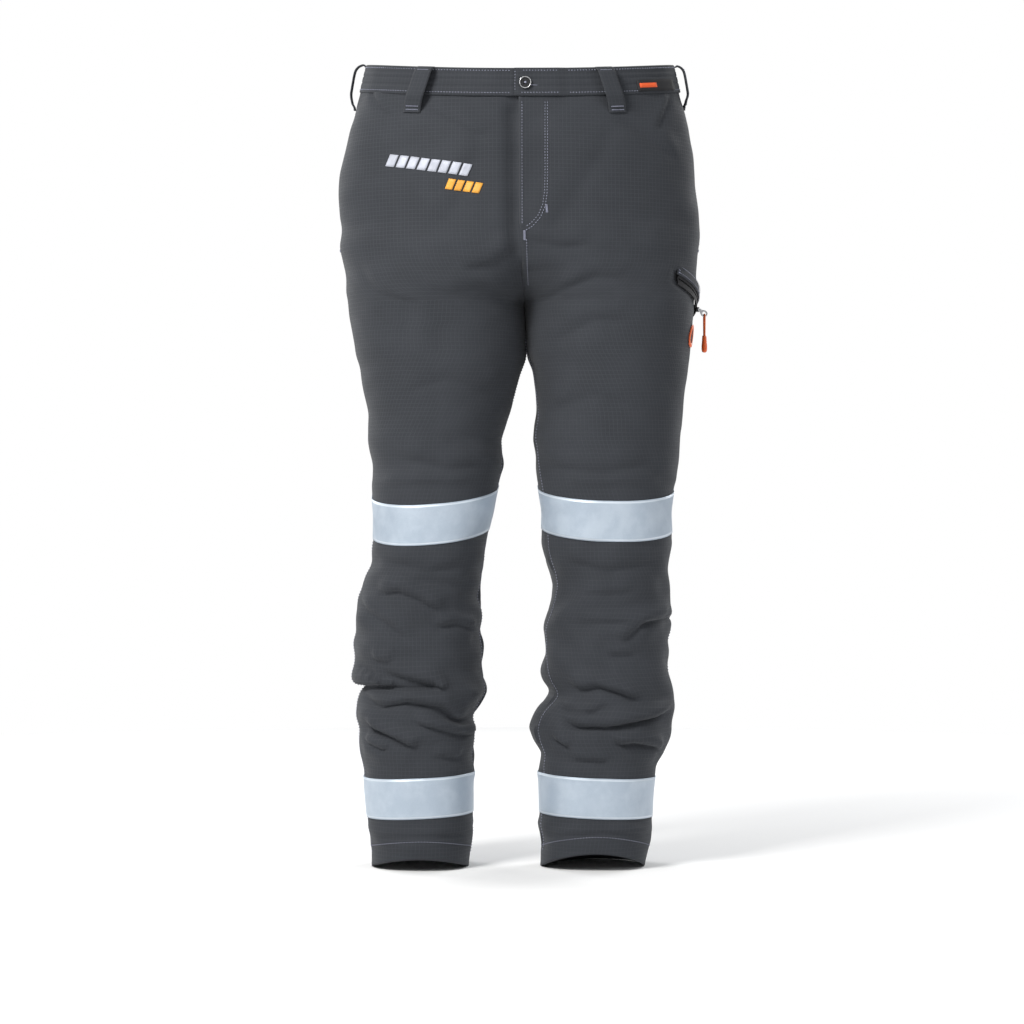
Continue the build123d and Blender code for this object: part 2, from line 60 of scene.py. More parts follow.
def make_stage():
    """Camera level with the thighs, a pale floor under the hems and soft light from the front and sides."""
    camera = bpy.data.cameras.new("camera")
    camera.lens = 101.25
    camera.clip_end = 50
    view = bpy.data.objects.new("camera", camera)
    view.location = (-0.010, -3.6, -0.562)
    view.rotation_euler = (math.pi / 2, 0, 0)
    bpy.context.collection.objects.link(view)
    bpy.context.scene.camera = view

    mesh = bpy.data.meshes.new("floor")
    r, z, sides = 2.3, -1.0032, 64
    turns = [2 * math.pi * k / sides for k in range(sides)]
    ring = [(r * math.cos(turn), r * math.sin(turn), z) for turn in turns]
    mesh.from_pydata(ring, [], [tuple(range(sides))])
    floor = bpy.data.objects.new("floor", mesh)
    bpy.context.collection.objects.link(floor)
    pale = bpy.data.materials.new("floor")
    pale.use_nodes = True
    shader = pale.node_tree.nodes["Principled BSDF"]
    shader.inputs["Base Color"].default_value = (0.9, 0.9, 0.9, 1)
    shader.inputs["Roughness"].default_value = 0.9
    mesh.materials.append(pale)

    for name, at, size, power, tint in (
        ("key", (-1.35, -1.75, 1.25), 0.9, 76, (1.0, 0.99, 0.97)),
        ("fill", (2.2, -2.0, 0.6), 1.5, 15, (0.96, 0.98, 1.0)),
        ("back_left", (1.7, 1.9, 0.7), 1.4, 38, (1.0, 1.0, 1.0)),
        ("back_right", (-1.8, 1.8, 0.7), 1.4, 38, (1.0, 1.0, 1.0)),
    ):
        lamp = bpy.data.lights.new(name, "AREA")
        lamp.shape = "SQUARE"
        lamp.size = size
        lamp.energy = power
        lamp.color = tint
        light = bpy.data.objects.new(name, lamp)
        light.location = at
        light.rotation_euler = (Vector((0, 0, -0.5)) - Vector(at)).to_track_quat("-Z", "Y").to_euler()
        bpy.context.collection.objects.link(light)

    world = bpy.data.worlds.new("studio")
    bpy.context.scene.world = world
    world.use_nodes = True
    nodes, links = world.node_tree.nodes, world.node_tree.links
    back = nodes["Background"]
    back.inputs["Color"].default_value = (0.97, 0.985, 1.0, 1)
    back.inputs["Strength"].default_value = 0.40
    seen = nodes.new("ShaderNodeBackground")
    seen.inputs["Color"].default_value = (1, 1, 1, 1)
    seen.inputs["Strength"].default_value = 1.0
    ray = nodes.new("ShaderNodeLightPath")
    mix = nodes.new("ShaderNodeMixShader")
    links.new(ray.outputs["Is Camera Ray"], mix.inputs[0])
    links.new(back.outputs[0], mix.inputs[1])
    links.new(seen.outputs[0], mix.inputs[2])
    links.new(mix.outputs[0], nodes["World Output"].inputs[0])
    bpy.context.scene.view_settings.view_transform = "Standard"


# ---------------------------------------------------------------- materials


class Nodes:
    """Short calls to build one material's node tree."""

    def __init__(self, name, rough=0.8, metal=0.0, spec=0.5, sheen=0.0):
        self.material = bpy.data.materials.new(name)
        self.material.use_nodes = True
        self.tree = self.material.node_tree
        self.shader = self.tree.nodes["Principled BSDF"]
        self.shader.inputs["Roughness"].default_value = rough
        self.shader.inputs["Metallic"].default_value = metal
        self.shader.inputs["Specular IOR Level"].default_value = spec
        self.shader.inputs["Sheen Weight"].default_value = sheen
        self.shader.inputs["Sheen Roughness"].default_value = 0.5

    def put(self, value, socket):
        if hasattr(value, "links"):
            self.tree.links.new(value, socket)
        else:
            socket.default_value = value

    def math(self, kind, a, b=0.0, c=0.0):
        node = self.tree.nodes.new("ShaderNodeMath")
        node.operation = kind
        for value, socket in zip((a, b, c), node.inputs):
            self.put(value, socket)
        return node.outputs[0]

    def coords(self, name="UVMap"):
        """The piece's own coordinates in millimetres: across and along."""
        uv = self.tree.nodes.new("ShaderNodeUVMap")
        uv.uv_map = name
        split = self.tree.nodes.new("ShaderNodeSeparateXYZ")
        self.tree.links.new(uv.outputs[0], split.inputs[0])
        return split.outputs[0], split.outputs[1]

    def noise(self, scale, detail=3.0, roughness=0.5):
        node = self.tree.nodes.new("ShaderNodeTexNoise")
        node.inputs["Scale"].default_value = scale
        node.inputs["Detail"].default_value = detail
        node.inputs["Roughness"].default_value = roughness
        place = self.tree.nodes.new("ShaderNodeTexCoord")
        self.tree.links.new(place.outputs["Object"], node.inputs["Vector"])
        return node.outputs["Fac"]

    def rib(self, value, pitch, share):
        """1 on a thin line once every pitch, 0 between, with soft edges."""
        part = self.math("FRACT", self.math("DIVIDE", value, pitch))
        away = self.math("ABSOLUTE", self.math("SUBTRACT", part, 0.5))
        return self.ramp(away, 0.5 - share, 0.5, 0.0, 1.0)

    def ramp(self, value, low, high, out_low, out_high):
        node = self.tree.nodes.new("ShaderNodeMapRange")
        node.interpolation_type = "SMOOTHSTEP"
        for socket, v in zip(node.inputs, (value, low, high, out_low, out_high)):
            self.put(v, socket)
        return node.outputs[0]

    def mix(self, factor, a, b):
        node = self.tree.nodes.new("ShaderNodeMix")
        node.data_type = "RGBA"
        self.put(factor, node.inputs["Factor"])
        for value, socket in ((a, node.inputs["A"]), (b, node.inputs["B"])):
            sockets = [s for s in node.inputs if s.name == socket.name and s.type == "RGBA"]
            self.put(value if hasattr(value, "links") else (*value, 1), sockets[0])
        return [s for s in node.outputs if s.type == "RGBA"][0]

    def bump(self, height, distance, strength=1.0, under=None):
        node = self.tree.nodes.new("ShaderNodeBump")
        node.inputs["Strength"].default_value = strength
        node.inputs["Distance"].default_value = distance
        self.put(height, node.inputs["Height"])
        if under is not None:
            self.tree.links.new(under, node.inputs["Normal"])
        return node.outputs[0]

    def finish(self, color=None, normal=None, rough=None):
        if color is not None:
            color = color if hasattr(color, "links") else (*color, 1)
            self.put(color, self.shader.inputs["Base Color"])
        if normal is not None:
            self.put(normal, self.shader.inputs["Normal"])
        if rough is not None:
            self.put(rough, self.shader.inputs["Roughness"])
        return self.material


def ripstop(name, color, line=1.22, pitch=5.0):
    """Woven cloth with a grid of thicker yarns, faint slubs and a soft sheen."""
    n = Nodes(name, rough=0.82, spec=0.24, sheen=0.07)
    u, v = n.coords()
    grid = n.math("MAXIMUM", n.rib(u, pitch, 0.11), n.rib(v, pitch, 0.11))
    yarn = n.math("ADD", n.rib(u, 0.9, 0.35), n.rib(v, 0.9, 0.35))
    slub = n.noise(900.0, 2.0, 0.6)
    cloud = n.noise(18.0, 3.0, 0.55)
    dark, light = [c * 0.93 for c in color], [c * 1.07 for c in color]
    base = n.mix(n.ramp(cloud, 0.3, 0.7, 0.0, 1.0), dark, light)
    base = n.mix(n.math("MULTIPLY", grid, 0.55), base, [c * line for c in color])
    base = n.mix(n.ramp(slub, 0.35, 0.75, 0.0, 0.35), base, [c * 0.8 for c in color])
    weave = n.math("ADD", n.math("MULTIPLY", grid, 0.7), n.math("MULTIPLY", yarn, 0.3))
    fine = n.bump(weave, 0.00022, 0.6)
    normal = n.bump(slub, 0.0002, 0.35, under=fine)
    return n.finish(base, normal, n.ramp(grid, 0.0, 1.0, 0.84, 0.72))


def plain_cloth(name, color, pitch=1.2, rough=0.9):
    """Plain or knitted inner cloth."""
    n = Nodes(name, rough=rough, spec=0.2, sheen=0.1)
    u, v = n.coords()
    yarn = n.math("MULTIPLY", n.rib(u, pitch, 0.3), n.rib(v, pitch, 0.3))
    slub = n.noise(400.0, 3.0, 0.6)
    dark, light = [c * 0.85 for c in color], [c * 1.15 for c in color]
    base = n.mix(n.ramp(slub, 0.3, 0.7, 0.0, 1.0), dark, light)
    return n.finish(base, n.bump(n.math("ADD", yarn, slub), 0.0003, 0.5))


def reflective(name):
    """Silver tape of fine glass beads with paler woven edges. Its second coordinate runs 0 to TAPE_H."""
    n = Nodes(name, rough=0.42, metal=0.25, spec=0.6)
    v = n.coords()[1]
    beads = n.noise(2600.0, 1.0, 0.5)
    wear = n.noise(35.0, 4.0, 0.6)
    edge = n.math("MINIMUM", v, n.math("SUBTRACT", TAPE_H, v))
    pale = n.math("MULTIPLY", n.ramp(edge, 1.0, 1.6, 0.0, 1.0), n.ramp(edge, 2.6, 3.4, 1.0, 0.0))
    base = n.mix(n.ramp(wear, 0.35, 0.7, 0.0, 1.0), (0.375, 0.445, 0.53), (0.46, 0.53, 0.61))
    base = n.mix(n.ramp(beads, 0.4, 0.7, 0.0, 0.35), base, (0.57, 0.64, 0.71))
    base = n.mix(n.math("MULTIPLY", pale, 0.8), base, (0.66, 0.72, 0.79))
    normal = n.bump(n.math("SUBTRACT", beads, n.math("MULTIPLY", pale, 0.8)), 0.00025, 0.5)
    return n.finish(base, normal, n.ramp(wear, 0.3, 0.7, 0.38, 0.5))


def solid(name, color, rough=0.5, metal=0.0, scale=500.0, depth=0.0001, vary=0.12, coat=0.0):
    """Plastic, rubber, metal or thread with a fine procedural grain."""
    n = Nodes(name, rough=rough, metal=metal)
    n.shader.inputs["Coat Weight"].default_value = coat
    grain = n.noise(scale, 3.0, 0.55)
    broad = n.noise(60.0, 2.0, 0.5)
    dark, light = [c * (1 - vary) for c in color], [c * (1 + vary) for c in color]
    base = n.mix(n.ramp(broad, 0.3, 0.7, 0.0, 1.0), dark, light)
    rough_at = n.ramp(grain, 0.3, 0.7, max(rough - 0.06, 0.02), min(rough + 0.08, 1.0))
    return n.finish(base, n.bump(grain, depth, 0.5), rough_at)


CLOTH = ripstop("outer_cloth", (0.0335, 0.0366, 0.0432), line=1.4)
DARK = plain_cloth("lining_cloth", (0.022, 0.023, 0.026))
FIBRE = plain_cloth("fibre", (0.74, 0.71, 0.62), pitch=2.0)
TAPE = reflective("reflective_tape")
THREAD = solid("thread", (0.27, 0.28, 0.36), rough=0.75, scale=3000.0)

# ---------------------------------------------------------------- the worn shape

# Outline of each leg seen from the front: z, the outer edge's x and the inner edge's x.
OUTLINE = {
    "right": [
        (20, -184, None), (-40, -198, None), (-82, -210, None), (-112, -217, None), (-142, -225, None),
        (-175, -226, None), (-207, -222, None), (-232, -224, None), (-262, -218, None), (-302, -214, 5.0),
        (-337, -209, 6.8), (-367, -204, 8.0), (-382, -199, 3), (-412, -194, -6), (-442, -188, -14),
        (-472, -189, -24), (-502, -184, -21), (-532, -184, -28), (-562, -182, -34), (-592, -182, -41),
        (-622, -183, -45), (-640, -193, -48), (-667, -200, -52), (-697, -204, -48), (-727, -208, -48),
        (-757, -204, -49), (-787, -194, -41), (-802, -202, -52), (-817, -206, -62), (-832, -199, -55),
        (-862, -200, -60), (-880, -198, -58), (-892, -194, -59), (-937, -191, -59), (-952, -190, -60),
        (-967, -185, -61), (-1003, -185, -64),
    ],
    "left": [
        (20, 184, None), (-40, 198, None), (-82, 209, None), (-112, 214, None), (-142, 217, None),
        (-187, 222, None), (-217, 224, None), (-232, 223, None), (-262, 219, None), (-302, 217, 5.2),
        (-337, 214, 7.0), (-367, 211, 8.4), (-382, 209, 15), (-412, 205, 20), (-442, 202, 21),
        (-472, 199, 16), (-502, 197, 20), (-532, 191, 23), (-562, 187, 28), (-592, 189, 27),
        (-622, 186, 31), (-652, 184, 43), (-675, 186, 37), (-697, 186, 34), (-727, 184, 31),
        (-757, 186, 28), (-772, 188, 30), (-787, 190, 37), (-802, 194, 26), (-817, 190, 18),
        (-832, 189, 10), (-847, 184, 16), (-862, 179, 27), (-877, 170, 25), (-892, 168, 24),
        (-922, 165, 24), (-952, 164, 25), (-982, 160, 26), (-1003, 155, 26),
    ],
}
# Depth of both legs: z, front y and back y.
DEPTH = [
    (20, -104.7, 105), (-40, -109.6, 108), (-85, -113.7, 115), (-130, -117.7, 123), (-175, -121.8, 129),
    (-207, -124.6, 131), (-236, -124, 128), (-268, -118, 120), (-302, -112, 108), (-370, -108, 98),
    (-430, -103, 88), (-490, -97, 78), (-560, -92, 68), (-620, -85, 68), (-700, -76, 78), (-760, -74, 82),
    (-820, -75, 79), (-890, -71, 72), (-945, -70, 70), (-1003, -71, 66),
]
# Where the seat divides: z, and how far the ellipse of a leg still reaches past the middle of the body.
FORK = [(-175, 220), (-207, 212), (-236, 130), (-268, 42), (-302, 0)]
MIDDLE = [(20, 1.0), (-222, 2.0), (-367, 8.0), (-1003, 8.0)]
RIM = [(-110.0, -24.0), (-10.0, -5.0), (110.0, 0.0)]
# How far the side seam and the inseam turn round the leg, in degrees: z, side seam, inseam.
SEAMS = {
    "right": [(20, 10, 0), (-300, 10, 0), (-500, 6, 6), (-700, -2, 8), (-830, -20, 6), (-1003, -24, 4)],
    "left": [(20, 10, 0), (-300, 10, 0), (-520, 8, 18), (-600, 6, 24), (-660, 6, 22), (-710, 4, 10),
             (-790, 4, 30), (-1003, 0, 10)],
}
# Columns of cloth in front and behind, rows in all and rows above TOP_Z.
N_FRONT, N_BACK, N_ROWS, N_TOP = 60, 60, 300, 26
TOP_Z, HEM_Z = -130.0, -1003.0
TOP_SPAN = 95.0  # height of the rows above TOP_Z before they follow the rim
CLOTH_DROP = 33.0  # from the waistband's top edge to the cloth's
HEM_LIFT = {"right": 14.0, "left": 21.0}  # how far the boot pushes the front of each hem up
CLOTH_T = 1.4


def spread(count):
    """Shares from 0 to 1 whose first and last steps are short, for a crisp seam at each end."""
    steps = np.ones(count)
    steps[:3] = steps[-3:][::-1] = (0.3, 0.5, 0.8)
    shares = np.concatenate([[0.0], np.cumsum(steps)])
    return shares / shares[-1]


SHARE_FRONT, SHARE_BACK = spread(N_FRONT), spread(N_BACK)


def column(table, k, z):
    """One column of a table of rows by falling z, at any z."""
    rows = [(r[0], r[k]) for r in table if r[k] is not None]
    zs, values = np.array(rows, float).T
    return np.interp(z, zs[::-1], values[::-1])


def rim_z(y):
    """Height of the waistband's top edge at this y."""
    (y0, z0), (y1, z1), (y2, z2) = RIM
    y = np.clip(y, y0, y2)
    front = z0 * (y - y1) * (y - y2) / ((y0 - y1) * (y0 - y2))
    middle = z1 * (y - y0) * (y - y2) / ((y1 - y0) * (y1 - y2))
    return front + middle + z2 * (y - y0) * (y - y1) / ((y2 - y0) * (y2 - y1))


def smooth_rows(values, passes):
    for _ in range(passes):
        values[1:-1] = (values[:-2] + 2 * values[1:-1] + values[2:]) / 4
    return values


class Leg:
    """The cloth of one side as a grid of points: rows run down, columns run round from front to back."""

    def __init__(self, side):
        self.side, self.s = side, SIDES[side]
        s = self.s
        table_z = np.arange(24.0, HEM_Z - 20, -3.0)
        outer = smooth_rows(column(OUTLINE[side], 1, table_z), 3)
        inner_leg = smooth_rows(column(OUTLINE[side], 2, table_z), 3)
        reach = column(FORK, 1, table_z)
        middle = column(MIDDLE, 1, table_z)
        inner = np.where(table_z > -302, middle - s * reach, inner_leg)
        inner = np.where(table_z > -175, -outer, inner)
        y0, y1 = (smooth_rows(column(DEPTH, k, table_z), 3) for k in (1, 2))
        self.table = [a[::-1].copy() for a in (table_z, outer, inner, y0, y1, middle)]
        self.grid = np.zeros((N_ROWS + 1, N_FRONT + N_BACK + 1, 3))
        self.flip = side == "right"
        self.shape()

    def ellipse(self, z):
        t = self.table
        outer, inner, y0, y1, middle = (np.interp(z, t[0], t[k]) for k in range(1, 6))
        return (outer + inner) / 2, np.abs(outer - inner) / 2, (y0 + y1) / 2, (y1 - y0) / 2, middle

    def point(self, z, phi):
        """Point of the smooth shape at height z, turned phi from the outer side towards the back."""
        cx, a, cy, b, _ = self.ellipse(z)
        c, n = np.cos(phi), np.sin(phi)
        boxy = 1 + 0.035 * np.abs(np.sin(2 * phi))
        return np.stack([cx + self.s * a * c * boxy, cy + b * n * boxy, z + 0 * phi], -1)

    def shape(self):
        for i in range(N_ROWS + 1):
            if i <= N_TOP:
                z = TOP_Z + (1 - i / N_TOP) * TOP_SPAN
            else:
                z = TOP_Z + (HEM_Z - TOP_Z) * (i - N_TOP) / (N_ROWS - N_TOP)
            cx, a, cy, b, middle = self.ellipse(z)
            share = np.clip(self.s * (middle - cx) / a, -1, 1)
            seam = math.radians(column(SEAMS[self.side], 1, z))
            turn = math.radians(column(SEAMS[self.side], 2, z))
            end = math.acos(share)
            p0, p1 = -end + turn, end + turn
            front, behind = p0 + (seam - p0) * SHARE_FRONT, seam + (p1 - seam) * SHARE_BACK[1:]
            phi = np.concatenate([front, behind])
            if i <= N_TOP:
                y = cy + b * np.sin(phi)
                top = rim_z(y) - CLOTH_DROP
                zz = TOP_Z + (top - TOP_Z) * (1 - i / N_TOP)
            else:
                zz = z + 0 * phi
                hem = (z - TOP_Z) / (HEM_Z - TOP_Z)
                rise = HEM_LIFT[self.side] * np.clip(-np.sin(phi), 0, 1) ** 1.6
                zz = zz + rise * np.clip((hem - 0.8) / 0.2, 0, 1) ** 1.5
            self.grid[i] = self.point(zz, phi)

    def normals(self):
        """Outward unit normals of the grid as it is now."""
        g = self.grid
        down = np.gradient(g, axis=0)
        around = np.gradient(g, axis=1)
        closed = np.linalg.norm(g[:, 0] - g[:, -1], axis=1) < 1.0
        wrap = (g[:, 1] - g[:, -2]) / 2
        around[closed, 0] = wrap[closed]
        around[closed, -1] = wrap[closed]
        n = np.cross(around, down) * -self.s
        return n / (np.linalg.norm(n, axis=-1, keepdims=True) + 1e-9)

    def flat(self):
        """Distance round each row from the middle of the front, and height, of every point."""
        step = np.linalg.norm(np.diff(self.grid, axis=1), axis=-1)
        start = np.zeros((len(self.grid), 1))
        across = np.concatenate([start, np.cumsum(step, axis=1)], axis=1)
        return across, self.grid[..., 2]

    def column_at(self, x, z, back=False):
        """Column, as a number, where the cloth seen from the front (or back) has this x at this height."""
        i = int(np.argmin(np.abs(self.grid[:, N_FRONT // 2, 2] - z)))
        row = self.grid[i]
        behind = row[:, 1] >= np.mean(row[:, 1])
        ids = np.where(behind if back else ~behind)[0]
        xs = row[ids, 0]
        order = np.argsort(xs)
        return float(np.interp(x, xs[order], ids[order]))


def crease_field(across, height, path):
    """Signed distance above a path on the flat cloth, and each point's share of the way along it."""
    best = np.full(height.shape, 1e9)
    signed = np.zeros(height.shape)
    along = np.zeros(height.shape)
    lengths = [math.dist(a, b) for a, b in zip(path, path[1:])]
    total, done = sum(lengths), 0.0
    for (a, b), length in zip(zip(path, path[1:]), lengths):
        ds, dz = (b[0] - a[0]) / length, (b[1] - a[1]) / length
        if ds < 0:
            nx, nz = dz, -ds
        else:
            nx, nz = -dz, ds
        t = (across - a[0]) * ds + (height - a[1]) * dz
        t_in = np.clip(t, 0, length)
        px, pz = across - a[0] - ds * t_in, height - a[1] - dz * t_in
        d = np.hypot(px, pz)
        nearer = d < best
        best = np.where(nearer, d, best)
        signed = np.where(nearer, np.sign(px * nx + pz * nz) * d, signed)
        along = np.where(nearer, (done + t_in) / total, along)
        done += length
    return signed, along


SLUMP = 0.6  # how far the cloth above a fold sags, as a share of the fold's depth


def fold(leg, path, depth, width, back=False):
    """A fold: cloth bulges above the path, dips in a narrow valley and rises more softly below."""
    across, height = leg.flat_rest
    points = []
    for x, z in path:
        c = leg.column_at(x, z, back)
        i = int(np.argmin(np.abs(leg.rest[:, N_FRONT // 2, 2] - z)))
        points.append((float(np.interp(c, np.arange(across.shape[1]), across[i])), z))
    h, along = crease_field(across, height, points)
    ends = np.clip(np.minimum(along, 1 - along) / 0.22, 0, 1)
    ends = ends * ends * (3 - 2 * ends)
    far = np.exp(-(np.clip(np.abs(h) - 5 * width, 0, None) / width) ** 2)
    valley = np.exp(-np.abs(h / (0.5 * width)) ** 1.5)
    upper = np.exp(-(((h - 1.2 * width) / (0.95 * width)) ** 2))
    lower = np.exp(-(((h + 1.9 * width) / (1.5 * width)) ** 2))
    push = ends * far * depth * (-0.95 * valley + 0.95 * upper + 0.35 * lower)
    leg.push += push
    leg.slump += ends * far * depth * SLUMP * np.exp(-(((h - 0.7 * width) / width) ** 2))


# Folds seen from the front, by leg: points (x, z), depth and width.
FRONT_FOLDS = {
    "right": [
        ([(-178, -664), (-149, -658), (-125, -667), (-92, -686)], 4.2, 9),
        ([(-107, -704), (-80, -698), (-55, -708)], 3.2, 7),
        ([(-138, -642), (-67, -655)], 1.6, 10),
        ([(-198, -670), (-162, -700), (-130, -727)], 2.4, 8),
        ([(-182, -742), (-155, -746)], 3.2, 7),
        ([(-194, -737), (-156, -762), (-109, -772), (-40, -785)], 6.8, 9.5),
        ([(-192, -790), (-167, -799), (-137, -793), (-102, -799), (-85, -814), (-62, -824)], 5.6, 7.5),
        ([(-139, -816), (-112, -824), (-76, -835), (-55, -838)], 4.6, 6.5),
        ([(-190, -823), (-155, -838), (-137, -847), (-120, -849)], 5.0, 7),
        ([(-191, -842), (-160, -855)], 3.6, 6),
        ([(-110, -862), (-72, -866)], 2.2, 7),
        ([(-182, -962), (-125, -960), (-62, -960)], 1.5, 5),
    ],
    "left": [
        ([(72, -663), (141, -661)], 1.8, 9),
        ([(122, -727), (154, -696), (183, -686)], 3.4, 9),
        ([(105, -739), (142, -736)], 2.4, 8),
        ([(66, -781), (95, -775), (124, -783), (146, -796)], 5.2, 9),
        ([(47, -802), (75, -806), (100, -806)], 4.2, 7),
        ([(42, -811), (70, -823), (105, -823), (149, -816), (188, -808)], 7.0, 8.5),
        ([(112, -847), (140, -844), (166, -850), (174, -860)], 5.0, 7),
        ([(38, -838), (62, -852)], 3.4, 7),
        ([(60, -866), (110, -868)], 2.6, 7),
        ([(30, -684), (44, -700)], 2.4, 7),
        ([(28, -962), (108, -956), (162, -962)], 1.5, 5),
    ],
}
# The same for folds at the back and sides, seen from the back.
BACK_FOLDS = {
    "right": [
        ([(-190, -560), (-150, -548), (-95, -556), (-55, -548)], 4.0, 12),
        ([(-185, -590), (-120, -600), (-60, -588)], 4.6, 11),
        ([(-196, -668), (-130, -680), (-70, -668)], 3.4, 11),
        ([(-200, -742), (-140, -752), (-80, -738)], 4.6, 10),
        ([(-202, -788), (-160, -800), (-110, -792), (-56, -806)], 6.2, 9),
        ([(-200, -830), (-150, -822), (-100, -838), (-60, -832)], 5.6, 8),
        ([(-196, -862), (-140, -868), (-90, -860)], 4.2, 7),
    ],
    "left": [
        ([(190, -560), (140, -550), (90, -560), (30, -552)], 4.0, 12),
        ([(185, -596), (120, -602), (50, -592)], 4.6, 11),
        ([(186, -690), (120, -700), (50, -690)], 3.6, 11),
        ([(186, -748), (120, -760), (45, -752)], 4.8, 10),
        ([(190, -796), (140, -806), (90, -800), (30, -812)], 6.2, 9),
        ([(184, -836), (130, -828), (80, -842), (26, -836)], 5.6, 8),
        ([(176, -866), (120, -870), (60, -862)], 4.0, 7),
    ],
}
# Broad soft drapes of the seat and thighs.
FRONT_DRAPES = {
    "right": [
        ([(-186, -36), (-176, -58), (-158, -82)], 1.9, 6),
        ([(-124, -68), (-84, -89), (-38, -113)], 1.7, 9),
        ([(-150, -85), (-110, -140), (-60, -200), (-10, -236)], 1.6, 20),
        ([(-40, -80), (-60, -150), (-100, -230)], 1.2, 18),
        ([(0, -240), (-30, -262), (-75, -270)], 2.2, 11),
        ([(-5, -300), (-45, -290), (-90, -300)], 1.6, 13),
        ([(-200, -250), (-160, -300), (-140, -380)], 1.5, 18),
        ([(-30, -420), (-90, -400), (-150, -420)], 1.6, 16),
        ([(-30, -500), (-90, -510), (-160, -490)], 2.0, 13),
        ([(-176, -540), (-120, -528), (-60, -536)], 1.6, 11),
        ([(-170, -620), (-110, -634), (-58, -622)], 1.8, 10),
    ],
    "left": [
        ([(186, -44), (178, -70), (166, -98)], 1.7, 6),
        ([(112, -78), (150, -100), (196, -132)], 1.5, 10),
        ([(120, -85), (90, -140), (60, -190), (20, -240)], 1.5, 20),
        ([(6, -231), (48, -242), (90, -238)], 2.0, 11),
        ([(36, -296), (90, -277), (130, -280)], 1.8, 12),
        ([(34, -358), (92, -328), (140, -330)], 1.8, 13),
        ([(30, -440), (90, -420), (150, -436)], 1.5, 16),
        ([(30, -506), (100, -514), (170, -500)], 2.0, 13),
        ([(60, -540), (120, -532), (176, -540)], 1.6, 11),
        ([(50, -620), (110, -634), (176, -618)], 1.8, 10),
    ],
}
BACK_DRAPES = {
    "right": [
        ([(-10, -200), (-70, -232), (-140, -236)], 3.0, 16),
        ([(-5, -262), (-60, -286), (-130, -290)], 3.2, 14),
        ([(-20, -330), (-90, -348), (-160, -340)], 2.4, 15),
        ([(-40, -430), (-100, -442), (-160, -430)], 2.2, 16),
    ],
}
BACK_DRAPES["left"] = [([(-x, z) for x, z in p], *sizes) for p, *sizes in BACK_DRAPES["right"]]
# Heights that sewn tapes and hems hold flat: lower z and upper z on the leg's middle.
HELD = [(-600, -522), (-950, -886), (-1010, -975)]
# Every table of folds, whether it lies behind, and the gain on its depths.
FOLDS = [
    (FRONT_FOLDS, False, 1.25), (BACK_FOLDS, True, 1.1), (FRONT_DRAPES, False, 1.3),
    (BACK_DRAPES, True, 1.3),
]


def sculpt(leg):
    """Lays every fold and drape of one side into its grid."""
    leg.rest = leg.grid.copy()
    leg.flat_rest = leg.flat()
    leg.push = np.zeros(leg.grid.shape[:2])
    leg.slump = np.zeros(leg.grid.shape[:2])
    for table, back, gain in FOLDS:
        for path, depth, width in table[leg.side]:
            fold(leg, path, depth * gain, width, back)
    z = leg.rest[..., 2]
    across, height = leg.flat_rest
    rng = np.random.default_rng(7 if leg.side == "right" else 8)
    loose = 0.35 + 0.65 * np.clip((-z - 480) / 150, 0, 1)
    for _ in range(26):
        wave, turn, phase = rng.uniform(26, 80), rng.normal(math.pi / 2, 0.5), rng.uniform(0, 2 * math.pi)
        reach = across * math.cos(turn) + height * math.sin(turn)
        lift = np.sin(2 * math.pi * reach / wave + phase)
        leg.push += 0.011 * wave * 0.55 * lift * loose
    hold = np.ones(z.shape)
    for low, high in HELD:
        inside = np.clip((z - low) / 10, 0, 1) * np.clip((high - z) / 10, 0, 1)
        hold = hold * (1 - 0.85 * inside)
    leg.push *= hold
    leg.slump *= hold
    normal = leg.normals()
    leg.grid = leg.rest + normal * leg.push[..., None]
    leg.grid[..., 2] -= leg.slump
    closed = np.linalg.norm(leg.rest[:, 0] - leg.rest[:, -1], axis=1) < 1.0
    middle = (leg.grid[closed, 0] + leg.grid[closed, -1]) / 2
    leg.grid[closed, 0] = middle
    leg.grid[closed, -1] = middle
    leg.closed = closed


# ---------------------------------------------------------------- mesh helpers


def new_object(name, verts_mm, faces, material, uv=None):
    mesh = bpy.data.meshes.new(name)
    mesh.from_pydata([tuple(float(c) * 0.001 for c in v) for v in verts_mm], [], faces)
    mesh.materials.append(material)
    if uv is not None:
        layer = mesh.uv_layers.new(name="UVMap")
        loops = np.zeros(len(mesh.loops), int)
        mesh.loops.foreach_get("vertex_index", loops)
        layer.data.foreach_set("uv", np.asarray(uv, np.float32)[loops].ravel())
    mesh.polygons.foreach_set("use_smooth", [True] * len(mesh.polygons))
    mesh.update()
    obj = bpy.data.objects.new(name, mesh)
    bpy.context.collection.objects.link(obj)
    return obj


def grid_faces(rows, cols, flip=False):
    faces = []
    for i in range(rows - 1):
        for j in range(cols - 1):
            a, b = i * cols + j, i * cols + j + 1
            c, d = a + cols, b + cols
            faces.append((a, b, d, c) if flip else (a, c, d, b))
    return faces


def bake(obj, *modifiers):
    """Adds modifiers and applies them."""
    for kind, settings in modifiers:
        modifier = obj.modifiers.new(kind.lower(), kind)
        for key, value in settings.items():
            setattr(modifier, key, value)
    graph = bpy.context.evaluated_depsgraph_get()
    shaped = obj.evaluated_get(graph)
    result = bpy.data.meshes.new_from_object(shaped, preserve_all_data_layers=True, depsgraph=graph)
    obj.modifiers.clear()
    old = obj.data
    obj.data = result
    bpy.data.meshes.remove(old)
    return obj


def thicken(obj, inwards):
    """Gives a one-sided sheet its thickness, in millimetres, away from the side it faces."""
    how = {"thickness": inwards * 0.001, "offset": -1, "use_even_offset": False}
    return bake(obj, ("SOLIDIFY", how))


def belong(obj, node, body="trousers"):
    """Rides a piece on its body, in place of a CAD node."""
    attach(obj, body)
    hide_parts(node)


